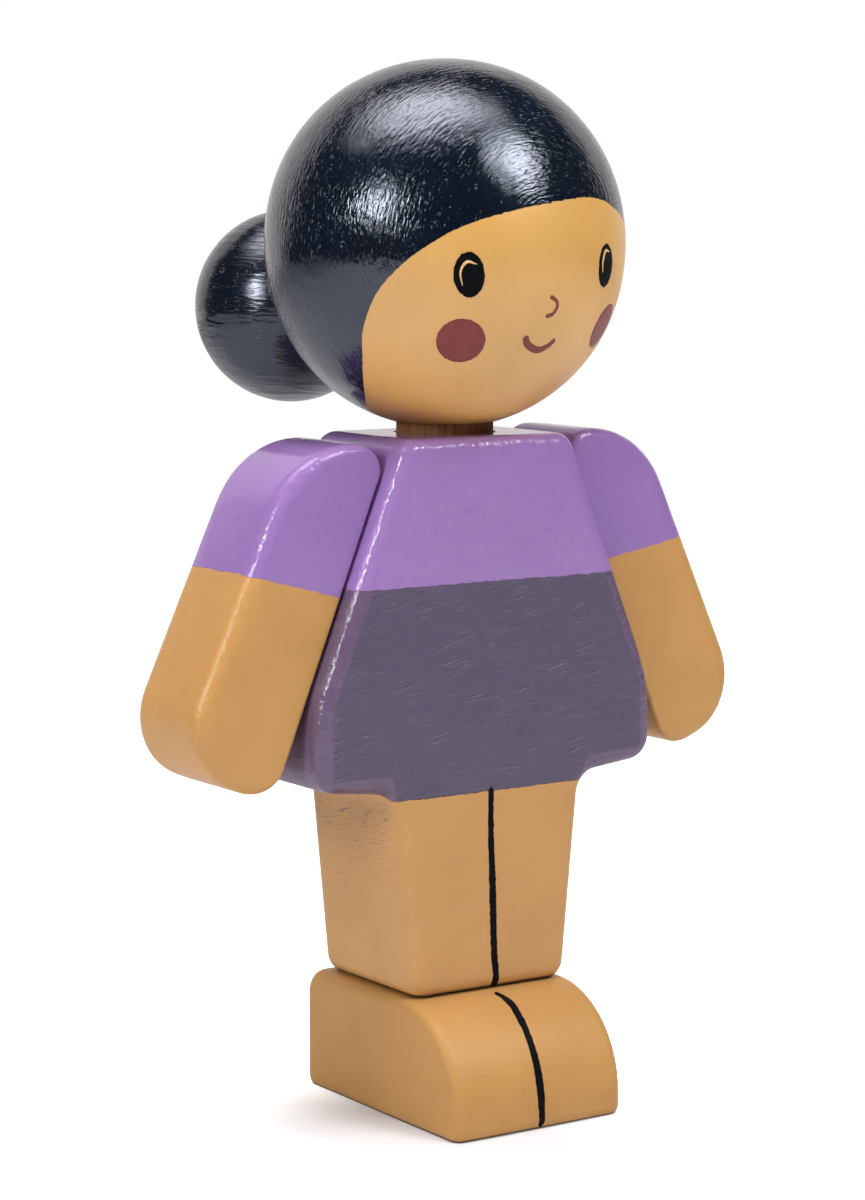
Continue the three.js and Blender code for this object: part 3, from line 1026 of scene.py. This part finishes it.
# %% [markdown]
# ## Turned balls by a rule
# Head and bun came off a lathe. A ball is a shape with a rule, so a Geometry Nodes tree makes it:
# every point of a unit ball is moved out along its own direction until it meets a body of
# revolution a little squarer than an ellipsoid. A soft noise then gives the faint dents that
# sanding by hand leaves, which is what makes the large reflections on the hair look uneven. The
# tree's inputs have names, so one tree serves both balls.

# %% Geometry trees
def start_tree(name, inputs):
    """New geometry tree with named inputs, and the sockets that give their values."""
    tree = bpy.data.node_groups.new(name, "GeometryNodeTree")
    for label, kind in inputs.items():
        tree.interface.new_socket(label, in_out="INPUT", socket_type=f"NodeSocket{kind}")
    tree.interface.new_socket("Geometry", in_out="OUTPUT", socket_type="NodeSocketGeometry")
    return tree, node("NodeGroupInput", tree=tree).outputs


def end_tree(shape, points, material):
    """Ends a tree with the shape's points set, as one smooth mesh of a material, and returns it."""
    moved = node("GeometryNodeSetPosition", {"Geometry": shape, "Position": points})
    smooth = node("GeometryNodeSetShadeSmooth", {"Geometry": moved.outputs[0]})
    whole = node("GeometryNodeRealizeInstances", {"Geometry": smooth.outputs[0]})
    inputs = {"Geometry": whole.outputs[0], "Material": material}
    painted = node("GeometryNodeSetMaterial", inputs)
    node("NodeGroupOutput", {"Geometry": painted.outputs[0]})
    return shape.id_data


def grow(piece, tree, values):
    """Runs a tree on a piece, with values by the names of its inputs, and keeps the mesh it gives."""
    modifier = piece.modifiers.new(tree.name, "NODES")
    modifier.node_group = tree
    for socket in tree.interface.items_tree:
        if socket.in_out == "INPUT" and socket.name in values:
            modifier[socket.identifier] = values[socket.name]
    return settle(piece)


print("geometry tree helpers ready")

# %% Ball tree
BALL_INPUTS = {
    "Centre": "Vector", "Width": "Float", "Height": "Float", "Fullness": "Float", "Detail": "Int",
    "Dent": "Float", "Dent Size": "Float", "Seed": "Float", "Paint": "Material",
}


def make_ball_tree():
    tree, given = start_tree("turned_ball", BALL_INPUTS)
    unit = node("GeometryNodeMeshIcoSphere", {"Radius": 1.0, "Subdivisions": given["Detail"]})
    place = node("GeometryNodeInputPosition", tree=tree).outputs[0]
    axes = node("ShaderNodeSeparateXYZ", {0: place}).outputs
    level = vector_step("LENGTH", vector_step("MULTIPLY", place, (1, 1, 0)))
    upright = number_step("ABSOLUTE", axes["Z"])
    shares = []
    for reach, size in ((level, given["Width"]), (upright, given["Height"])):
        share = number_step("DIVIDE", reach, times(size, 0.5))
        shares.append(number_step("POWER", share, given["Fullness"]))
    power = number_step("DIVIDE", -1.0, given["Fullness"])
    radius = number_step("POWER", plus(*shares), power)
    inputs = {"Vector": place, "W": given["Seed"], "Scale": given["Dent Size"], "Detail": 2.0}
    soft = node("ShaderNodeTexNoise", inputs, noise_dimensions="4D").outputs[0]
    dent = times(minus(soft, 0.5), given["Dent"])
    out = scaled(place, plus(radius, dent))
    points = vector_step("ADD", out, given["Centre"])
    return end_tree(unit.outputs[0], points, given["Paint"])


ball_tree = make_ball_tree()


def turned_ball(name, values):
    """Ball of the tree as a plain mesh object."""
    return grow(show(bpy.data.meshes.new(name), name), ball_tree, values)


print("ball tree nodes:", len(ball_tree.nodes))

# %% [markdown]
# ## Hair paint
# The hair is thick gloss paint on open grain. The lathe turned the ball about the axis through the
# face, so the ripples and pores run in rings around that axis: upright on the side of the head and
# level above the brow. The mesh stores how far each point lies along and around that axis, and the
# shader stretches its noise over those numbers. In patches the paint is thicker and half fills the
# ripples.

# %% Gloss relief
TURNING = "turning"  # what a mesh calls its place around and along the lathe axis
HEAD_GROOVE = (0.42, 0.12, 3)  # width and depth of the ripples in mm, and lengths to a width
BUN_GROOVE = (1.0, 0.34, 6)


def lathe_relief(place, groove, depth, stretch):
    """Relief of gloss paint on a turned ball: soft waves, grooves along the rings, drops and pits."""
    rings = read_attribute(place.id_data, TURNING, "Vector")
    relief = bump(clouds(place, 4.0, 1.0, seed=1.0), depth=0.11)
    ripple = streaks(rings, (stretch * groove, stretch * groove, groove))
    filled = between(clouds(place, 8.0, 1.0, seed=12.0), 0.38, 0.60, 0.35, 1.0)
    relief = bump(times(ripple, filled), depth, relief)
    hairs = streaks(rings, (0.9, 0.9, 0.2), seed=6.0)
    relief = bump(between(hairs, 0.60, 0.75, 1.0, 0.0), 0.03, relief)
    drops = specks(place, spacing=1.1, radius=0.20, share=0.5)
    relief = bump(drops, 0.045, relief)
    pits = specks(place, spacing=4.5, radius=0.42, share=0.5)
    return bump(minus(1.0, pits), 0.10, relief)


print("ripples on head and bun in mm:", HEAD_GROOVE[0], BUN_GROOVE[0])

# %% Gloss paint
HAIRLINE = "hairline"  # what the head's mesh calls the distance from the hairline in mm
HAIR_GLOSS = 0.05  # least roughness on the head
BUN_GLOSS = 0.12  # and on the bun
GLOSS_SPREAD = 0.14
HAIR_IOR = 1.75
BUN_IOR = 1.7
GLOSS_TINT = (0.82, 0.88, 1.0, 1)
HAIR_EDGE = 0.05  # mm either side of the hairline
LIP_EDGE = 0.12  # mm either side, in which the hair's coat rises over the skin's
LIP_RISE = 0.07  # mm


def navy_paint(place):
    return shade(place, NAVY, 7.0)


def make_hair_material():
    material, place = start_paint("hair_paint")
    return end_paint(material, {
        "Base Color": navy_paint(place),
        "Roughness": sheen(place, 3.0, BUN_GLOSS, GLOSS_SPREAD),
        "IOR": BUN_IOR, "Specular Tint": GLOSS_TINT,
        "Normal": lathe_relief(place, *BUN_GROOVE),
    })


def make_head_material():
    material, place = start_paint("head_paint")
    outside = read_attribute(place.id_data, HAIRLINE, "Fac")
    edge = plus(outside, wander(place, reach=0.06, size=0.7))
    is_hair = at_edge(edge, 0.0, HAIR_EDGE)
    # the face's lighter tan is painted light
    skin = skin_paint(place, LIT_FACE_SKIN)
    satin = sheen(place, 4.0, least=0.30, spread=0.16)
    gloss = sheen(place, 3.0, HAIR_GLOSS, GLOSS_SPREAD)
    rough = node("ShaderNodeMix", {0: is_hair, 2: satin, 3: gloss}, data_type="FLOAT")
    lip = bump(at_edge(edge, 0.0, LIP_EDGE), LIP_RISE)
    reliefs = {0: is_hair, 4: peel(place, 0.012, lip), 5: lathe_relief(place, *HEAD_GROOVE)}
    relief = node("ShaderNodeMix", reliefs, data_type="VECTOR")
    return end_paint(material, {
        "Base Color": mixed(is_hair, skin, navy_paint(place)),
        "Roughness": rough.outputs[0],
        "IOR": HAIR_IOR, "Specular Tint": GLOSS_TINT,
        "Normal": relief.outputs[1],
    })


hair_paint = make_hair_material()
head_paint = make_head_material()
print("gloss paints:", hair_paint.name, head_paint.name)

# %% [markdown]
# ## The head and its hairline
# The hairline was masked as one closed curve: low on the doll's right temple, rising over the
# brow, and turning down sooner on the left. It is kept as a few directions from the head's centre,
# joined by a smooth closed curve. Each point of the ball then stores its distance to that curve,
# positive in the hair, and the paint reads the distance, so the edge stays crisp at any size.

# %% Smooth curve
def smooth_curve(points, steps, closed=False):
    """Points of a smooth curve through all the given ones."""
    points = np.array(points, float)
    if closed:
        padded = np.vstack([points[-1:], points, points[:2]])
    else:
        padded = np.vstack([2 * points[0] - points[1], points, 2 * points[-1] - points[-2]])
    t = np.linspace(0, 1, steps, endpoint=False)[:, None]
    runs = []
    for a, b, c, d in zip(padded, padded[1:], padded[2:], padded[3:]):
        bend = a - 2.5 * b + 2 * c - d / 2
        twist = 1.5 * (b - c) + (d - a) / 2
        runs.append(b + (c - a) * t / 2 + bend * t**2 + twist * t**3)
    if not closed:
        runs.append(points[-1:])
    return np.vstack(runs)


print("helper for curves ready")

# %% Hairline
HAIRLINE_TURN_AND_RISE = (  # degrees
    (13, 14.7), (25, 14.2), (29, 13.4), (41, 9.3), (53, 3.8), (64, -14), (71, -38), (106, -66),
    (180, -80), (-106, -66), (-78, -52), (-67, -37), (-62.5, -25.5), (-54.5, -12.5), (-41.5, -1),
    (-23.4, 8),
)
FACE_CENTRE = (0, -25)  # turn and rise
CURVE_STEPS = 40  # points between two directions of the curve
POINT_GROUPS = 64  # in which the points are compared with the curve, to save memory


def face_angles(ways):
    """Angle from the middle of the face and angle around it, for unit directions."""
    middle = np.array(direction(*FACE_CENTRE))
    across = np.array([1.0, 0.0, 0.0])
    above = np.cross(across, middle)
    away = np.arccos(np.clip(ways @ middle, -1, 1))
    return away, np.arctan2(ways @ above, ways @ across)


def hairline_distance(ways, radius):
    """Distance in mm from the hairline for unit directions, positive in the hair."""
    corners = [direction(*pair) for pair in HAIRLINE_TURN_AND_RISE]
    curve = smooth_curve(corners, CURVE_STEPS, closed=True)
    curve /= np.linalg.norm(curve, axis=1)[:, None]
    groups = np.array_split(ways, POINT_GROUPS)
    nearest = np.concatenate([(group @ curve.T).max(axis=1) for group in groups])
    distance = np.arccos(np.clip(nearest, -1, 1)) * radius
    edge_away, edge_around = face_angles(curve)
    order = np.argsort(edge_around)
    away, around = face_angles(ways)
    limit = np.interp(around, edge_around[order], edge_away[order], period=2 * math.pi)
    return np.where(away > limit, distance, -distance)


print("directions along the hairline:", len(HAIRLINE_TURN_AND_RISE))

# %% What a mesh stores
ASKEW = (0.3, 0.2, 0.93)  # a direction that no lathe axis has


def store(mesh, name, kind, values):
    """Keeps one number or vector for each point of a mesh."""
    attribute = mesh.attributes.new(name, kind, "POINT")
    key = "value" if kind == "FLOAT" else "vector"
    attribute.data.foreach_set(key, np.asarray(values, np.float32).ravel())


def mesh_points(mesh):
    """Points of a mesh in mm."""
    flat = np.empty(len(mesh.vertices) * 3, np.float32)
    mesh.vertices.foreach_get("co", flat)
    return flat.reshape(-1, 3).astype(float) / MM


def store_turning(mesh, centre, axis):
    """Stores where each point lies around a lathe axis, and how far along the surface, in mm."""
    axis = np.array(axis.normalized())
    out = mesh_points(mesh) - np.array(centre)
    radius = np.linalg.norm(out, axis=1)
    along = out @ axis
    around = out - along[:, None] * axis
    side = np.cross(axis, ASKEW)
    side /= np.linalg.norm(side)
    other = np.cross(axis, side)
    run = np.arccos(np.clip(along / radius, -1, 1)) * radius
    store(mesh, TURNING, "FLOAT_VECTOR", np.column_stack([around @ side, around @ other, run]))


print("a mesh can store:", TURNING, HAIRLINE)

# %% Seat of the bun
BUN_DIAMETER = 25.0  # mm
BUN_FLAT = 0.8  # sanded off against the head
BUN_SEAT = 0.3  # between that flat and the head
BUN_YAW = 3.3  # degrees to one side of straight behind
BUN_DROP = 14.2  # degrees below the level
DOWEL_IN_BALL = 8.0  # mm of the bun's dowel in the head and in the bun
bun_axis = direction(180 + BUN_YAW, -BUN_DROP)


def to_head_surface(way):
    """Distance in mm from the head's centre to its surface along a direction."""
    across = math.hypot(way.x, way.y) / (HEAD_WIDTH / 2)
    upright = abs(way.z) / (HEAD_HEIGHT / 2)
    return (across**HEAD_FULLNESS + upright**HEAD_FULLNESS) ** (-1 / HEAD_FULLNESS)


bun_foot = HEAD_CENTRE + bun_axis * to_head_surface(bun_axis)
bun_centre = bun_foot + bun_axis * (BUN_SEAT + BUN_DIAMETER / 2 - BUN_FLAT)
bun_hole = (
    SMALL_DOWEL,
    bun_foot - bun_axis * DOWEL_IN_BALL,
    bun_foot + bun_axis * (BUN_SEAT + DOWEL_IN_BALL),
)
print("middle of the bun in mm:", [round(value, 1) for value in bun_centre])

# %% Head
head = turned_ball("painted_head", {
    "Centre": HEAD_CENTRE * MM, "Width": HEAD_WIDTH * MM, "Height": HEAD_HEIGHT * MM,
    "Fullness": HEAD_FULLNESS, "Detail": 7, "Dent": 0.10 * MM, "Dent Size": 3.0, "Seed": 4.0,
    "Paint": head_paint,
})
drill(head, [neck_hole, bun_hole])
ways = mesh_points(head.data) - np.array(HEAD_CENTRE)
ways /= np.linalg.norm(ways, axis=1)[:, None]
store(head.data, HAIRLINE, "FLOAT", hairline_distance(ways, HEAD_WIDTH / 2))
store_turning(head.data, HEAD_CENTRE, Vector((0, -1, 0)))
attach(head, "head")
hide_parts("head_ball")
print("head faces:", len(head.data.polygons))

# %% Bun
BUN_LATHE_AXIS = Vector((0.1, 0, 1))  # nearly upright, so its ripples lie level


def flatten(piece, point, way):
    """Sands a flat on a piece: everything behind a plane at a point in mm is taken off."""
    shape = bmesh.new()
    shape.from_mesh(piece.data)
    saw_off(shape, point, way)
    shape.to_mesh(piece.data)
    shape.free()


bun = turned_ball("painted_bun", {
    "Centre": bun_centre * MM, "Width": BUN_DIAMETER * MM, "Height": BUN_DIAMETER * MM,
    "Fullness": 2.0, "Detail": 6, "Dent": 0.12 * MM, "Dent Size": 3.0, "Seed": 9.0,
    "Paint": hair_paint,
})
flatten(bun, bun_foot + bun_axis * BUN_SEAT, bun_axis)
drill(bun, [bun_hole])
store_turning(bun.data, bun_centre, BUN_LATHE_AXIS)
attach(bun, "head")
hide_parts("hair_bun")
print("bun faces:", len(bun.data.polygons))

# %% [markdown]
# ## Ink that follows a surface
# Face and pen lines are ink on the paint: thin films with slightly ragged edges. Each mark is drawn
# flat in front of the doll and a Geometry Nodes tree lays it on the piece behind it: a noise shifts
# the points sideways, a ray is cast from each one, and the mark is set down where it lands. Solidify
# then gives the film a thickness, half of it sunk into the paint.

# %% Ink tree
INK_INPUTS = {
    "Geometry": "Geometry", "Surface": "Object", "Direction": "Vector", "Lift": "Float",
    "Ragged": "Float", "Ragged Size": "Float", "Ink": "Material",
}
INK_SEED = 1.0
RAY_START = 60.0  # mm in front of the drawing
RAY_LENGTH = 160.0  # mm


def make_ink_tree():
    tree, given = start_tree("laid_ink", INK_INPUTS)
    place = node("GeometryNodeInputPosition", tree=tree).outputs[0]
    scale = number_step("DIVIDE", 1.0, given["Ragged Size"])
    inputs = {"Vector": place, "Scale": scale, "W": INK_SEED, "Detail": 2.0}
    noise = node("ShaderNodeTexNoise", inputs, noise_dimensions="4D").outputs[1]
    centred = vector_step("SUBTRACT", noise, (0.5, 0.5, 0.5))
    shift = scaled(centred, times(given["Ragged"], 4.0))
    back = scaled(given["Direction"], -RAY_START * MM)
    start = vector_step("ADD", vector_step("ADD", place, shift), back)
    surface = node("GeometryNodeObjectInfo", {"Object": given["Surface"]}).outputs["Geometry"]
    ray = node("GeometryNodeRaycast", {
        "Target Geometry": surface, "Source Position": start,
        "Ray Direction": given["Direction"], "Ray Length": RAY_LENGTH * MM,
    }).outputs
    lift = scaled(ray["Hit Normal"], given["Lift"])
    points = vector_step("ADD", ray["Hit Position"], lift)
    return end_tree(given["Geometry"], points, given["Ink"])


ink_tree = make_ink_tree()
print("ink tree nodes:", len(ink_tree.nodes))

# %% Ink materials
PINHOLE = 0.7  # share of skin colour in a pinhole


def make_ink(name, pair, gloss, shine, dots=0.0):
    """Ink of two near shades, with pale pinholes in a share of its cells."""
    material, place = start_paint(name)
    holes = specks(place, spacing=0.95, radius=0.10, share=dots)
    tone = shade(place, pair, 0.8)
    return end_paint(material, {
        "Base Color": mixed(times(holes, PINHOLE), tone, SKIN[1]),
        "Roughness": sheen(place, 0.7, gloss, spread=0.2, seed=0.0),
        "Specular IOR Level": shine,
        "Normal": bump(clouds(place, 0.35), depth=0.012),
    })


black_ink = make_ink("black_ink", INK_BLACK, gloss=0.34, shine=0.03, dots=0.06)
red_ink = make_ink("red_ink", INK_RED, gloss=0.29, shine=0.40, dots=0.16)
cream_ink = make_ink("cream_ink", INK_CREAM, gloss=0.35, shine=0.4)
print("inks:", black_ink.name, red_ink.name, cream_ink.name)

# %% Drawing a disc
DISC_RINGS = 10
DISC_SIDES = 144


def draw_disc(centre, out, half_width, half_height, lean):
    """Flat oval at a centre, square to a direction, as points and faces. Lean in degrees."""
    across = Vector((0, 0, 1)).cross(out).normalized()
    up = out.cross(across)
    turn = Matrix.Rotation(math.radians(lean), 2)
    points = [centre]
    for r in range(1, DISC_RINGS + 1):
        for s in range(DISC_SIDES):
            angle = 2 * math.pi * s / DISC_SIDES
            edge = Vector((half_width * math.cos(angle), half_height * math.sin(angle)))
            x, y = turn @ edge * (r / DISC_RINGS)
            points.append(centre + across * x + up * y)
    sides = [(s, (s + 1) % DISC_SIDES) for s in range(DISC_SIDES)]
    faces = [(0, 1 + s, 1 + after) for s, after in sides]
    for r in range(DISC_RINGS - 1):
        low, high = 1 + r * DISC_SIDES, 1 + (r + 1) * DISC_SIDES
        faces += [(low + s, high + s, high + after, low + after) for s, after in sides]
    return points, faces


print("points round a disc:", DISC_SIDES)

# %% Drawing a stroke
FORWARD = Vector((0, 1, 0))
STROKE_STEPS = 24  # points between two places of a stroke
LEAST_ROUND = 0.02  # square of the share of its width that a stroke has at its very ends


def draw_stroke(path, way=FORWARD, strips=4):
    """Flat stroke along a curve through places (x, y, z, width) in mm, round at both ends."""
    line = smooth_curve([Vector(place) for *place, _ in path], STROKE_STEPS)
    widths = [width for *_, width in path]
    spread = np.interp(np.linspace(0, 1, len(line)), np.linspace(0, 1, len(widths)), widths)
    run = np.concatenate([[0], np.cumsum(np.linalg.norm(np.diff(line, axis=0), axis=1))])
    half = spread / 2
    from_end = np.minimum(np.minimum(run, run[-1] - run) / half, 1)
    half = half * np.sqrt(np.clip(1 - (1 - from_end) ** 2, LEAST_ROUND, 1))
    side = np.cross(np.gradient(line, axis=0), np.array(way))
    side /= np.linalg.norm(side, axis=1)[:, None]
    points, faces = [], []
    for i in range(len(line)):
        for k in range(strips + 1):
            points.append(Vector(line[i] + side[i] * half[i] * (2 * k / strips - 1)))
    for i in range(len(line) - 1):
        for k in range(strips):
            a, b = i * (strips + 1) + k, (i + 1) * (strips + 1) + k
            faces.append((a, b, b + 1, a + 1))
    return points, faces


print("points between two places of a stroke:", STROKE_STEPS)

# %% Laying ink
INK_THICKNESS = 0.05  # mm


def flat_piece(name, marks):
    """All the drawn marks as one flat object."""
    points, faces = [], []
    for mark_points, mark_faces in marks:
        faces += [tuple(index + len(points) for index in face) for face in mark_faces]
        points += [point * MM for point in mark_points]
    mesh = bpy.data.meshes.new(name)
    mesh.from_pydata(points, [], faces)
    return show(mesh, name)


def face_outwards(film, way):
    """Turns the faces of a film against the way that it was laid."""
    shape = bmesh.new()
    shape.from_mesh(film.data)
    bmesh.ops.recalc_face_normals(shape, faces=shape.faces)
    middle = sum((vert.co for vert in shape.verts), Vector()) / len(shape.verts)
    front = min(shape.faces, key=lambda face: (face.calc_center_median() - middle).length)
    if front.normal.dot(way) > 0:
        bmesh.ops.reverse_faces(shape, faces=shape.faces)
    shape.to_mesh(film.data)
    shape.free()


def lay_ink(name, marks, surface, body, ink, ragged, size, way=FORWARD, lift=0.0):
    """Lays drawn marks on a surface as one film of ink that rides on a body. Sizes in mm."""
    film = grow(flat_piece(name, marks), ink_tree, {
        "Surface": surface, "Direction": way, "Lift": (lift + INK_THICKNESS / 2) * MM,
        "Ragged": ragged * MM, "Ragged Size": size * MM, "Ink": ink,
    })
    face_outwards(film, way)
    wall = film.modifiers.new("film", "SOLIDIFY")
    wall.thickness = INK_THICKNESS * MM
    wall.offset = -1
    settle(film)
    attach(film, body)
    print(name, "faces:", len(film.data.polygons))


print("thickness of ink in mm:", INK_THICKNESS)

# %% [markdown]
# ## The face
# The face is a simple print: two oval eyes with a pale crescent, two round cheeks, a hooked line for
# the nose and a smile. The whole print sits a few degrees askew on the ball, so the doll's left eye
# is a little higher, and it leans. Places are given in millimetres from the head's centre, seen from
# the front, with x to the doll's left and z up.

# %% Eyes and cheeks
EYE_RAGGED = 0.105  # mm
CHEEK_RAGGED = 0.06
DISC_RAGGED_SIZE = 0.30
FACE_DISCS = {  # ink, x and z, half width and half height in mm, lean in degrees, raggedness in mm
    "right_eye": (black_ink, -9.85, -3.25, 1.84, 2.68, 4, EYE_RAGGED),
    "left_eye": (black_ink, 9.95, -2.4, 1.78, 2.62, 6, EYE_RAGGED),
    "right_cheek": (red_ink, -9.3, -11.05, 2.9, 2.95, 0, CHEEK_RAGGED),
    "left_cheek": (red_ink, 12.3, -9.8, 2.9, 2.9, 0, CHEEK_RAGGED),
}


def face_disc(name, ink, x, z, half_width, half_height, lean, ragged):
    """Oval of ink laid square on the ball, at a place given from the front."""
    level = HEAD_WIDTH / 2 * (1 - abs(2 * z / HEAD_HEIGHT) ** HEAD_FULLNESS) ** (1 / HEAD_FULLNESS)
    place = Vector((x, -math.sqrt(level**2 - x**2), z))
    out = place.normalized()
    disc = draw_disc(HEAD_CENTRE + place, out, half_width, half_height, lean)
    lay_ink(name, [disc], head, "head", ink, ragged, DISC_RAGGED_SIZE, -out)


for name, disc in FACE_DISCS.items():
    face_disc(name, *disc)

# %% Crescents, nose and smile
CRESCENTS = (  # x, z and width in mm
    ((-10.45, -4.5, 0.08), (-10.78, -2.9, 0.20), (-10.2, -1.75, 0.36), (-9.1, -2.0, 0.10)),
    ((9.25, -3.2, 0.10), (9.12, -1.9, 0.30), (9.65, -0.65, 0.42), (10.6, -0.75, 0.10)),
)
NOSE = ((0.5, -5.85, 0.5), (1.5, -6.4, 0.42), (1.75, -7.1, 0.42), (1.3, -7.95, 0.45), (0.3, -8.25, 0.55))
SMILE = (
    (-1.85, -10.5, 0.72), (-1.2, -11.5, 0.78), (0.5, -12.25, 0.80), (1.85, -11.85, 0.66),
    (2.8, -11.0, 0.60),
)
CRESCENT_LIFT = 0.02  # mm over the ink of the eye


def face_strokes(paths):
    """Strokes of the flat drawing, moved up to the head's centre."""
    return [draw_stroke([(x, 0, HEAD_CENTRE.z + z, width) for x, z, width in path]) for path in paths]


lay_ink(
    "eye_crescents", face_strokes(CRESCENTS), head, "head", cream_ink,
    ragged=0.02, size=0.4, lift=CRESCENT_LIFT,
)
lay_ink(
    "nose_and_smile", face_strokes((NOSE, SMILE)), head, "head", red_ink,
    ragged=0.04, size=0.35,
)

# %% [markdown]
# ## The pen lines
# A line drawn freehand parts the legs, and another parts the feet. They run down the front of the
# board and over the toes. The toe curves away from a straight view, so its line is laid from above
# and in front at once.

# %% Pen lines
LEG_LINE = (  # x, y, z and width in mm
    (-0.06, 0, 40.5, 0.72), (-0.05, 0, 35.0, 0.86), (0.25, 0, 26.5, 0.98),
    (0.45, 0, 20.0, 0.94), (0.75, 0, 16.8, 0.92), (0.6, 0, 15.3, 1.15),
)
FOOT_LINE = (
    (0.05, -11.0, 14.95, 0.60), (0.5, -13.5, 14.15, 1.10), (0.32, -16.0, 12.7, 1.02),
    (0.1, -18.6, 10.1, 0.92), (-0.02, -20.6, 5.6, 1.10), (0.1, -21.0, 0.35, 0.85),
)
TOE_VIEW = Vector((0, 1, -0.6)).normalized()
PEN_STRIPS = 6

leg_stroke = draw_stroke(LEG_LINE, strips=PEN_STRIPS)
lay_ink("leg_line", [leg_stroke], body, "torso", black_ink, ragged=0.11, size=0.45)
foot_stroke = draw_stroke(FOOT_LINE, TOE_VIEW, PEN_STRIPS)
lay_ink("foot_line", [foot_stroke], foot, "torso", black_ink, 0.09, 0.5, TOE_VIEW)

# %% [markdown]
# ## The dowels
# Only the neck dowel shows, as a short ring of bare wood between shirt and head. It is turned from
# a profile with a small chamfer at each end. The other dowels are hidden in their holes, so the
# frame's own solids stay and only get the wood. The bun's gets the near-black hair paint instead,
# which ran into the seam round it and which also darkens that seam as painted shade.

# %% Dowels
NECK_SIDES = 96
CHAMFER = 0.6  # mm
HIDDEN_DOWELS = (
    "bun_dowel", "left_shoulder_dowel", "right_shoulder_dowel", "left_ankle_dowel", "right_ankle_dowel",
)


def make_neck():
    _, low, high = neck_hole
    radius = NECK_DIAMETER / 2
    profile = [
        (0, low.z), (radius - CHAMFER, low.z), (radius, low.z + CHAMFER),
        (radius, high.z - CHAMFER), (radius - CHAMFER, high.z), (0, high.z),
    ]
    shape = bmesh.new()
    verts = [shape.verts.new(Vector((r, 0, z)) * MM) for r, z in profile]
    edges = [shape.edges.new(pair) for pair in zip(verts, verts[1:])]
    bmesh.ops.spin(
        shape, geom=verts + edges, cent=(0, 0, 0), axis=(0, 0, 1), angle=2 * math.pi, steps=NECK_SIDES
    )
    return finish_mesh(shape, "turned_neck", wood)


neck = make_neck()
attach(neck, "torso")
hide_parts("neck_dowel")
for name in HIDDEN_DOWELS:
    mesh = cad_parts[name].data
    mesh.materials.clear()
    # the bun's dowel takes the hair paint, partly as painted shade in the seam round the bun
    mesh.materials.append(hair_paint if name == "bun_dowel" else wood)
print("neck faces:", len(neck.data.polygons))
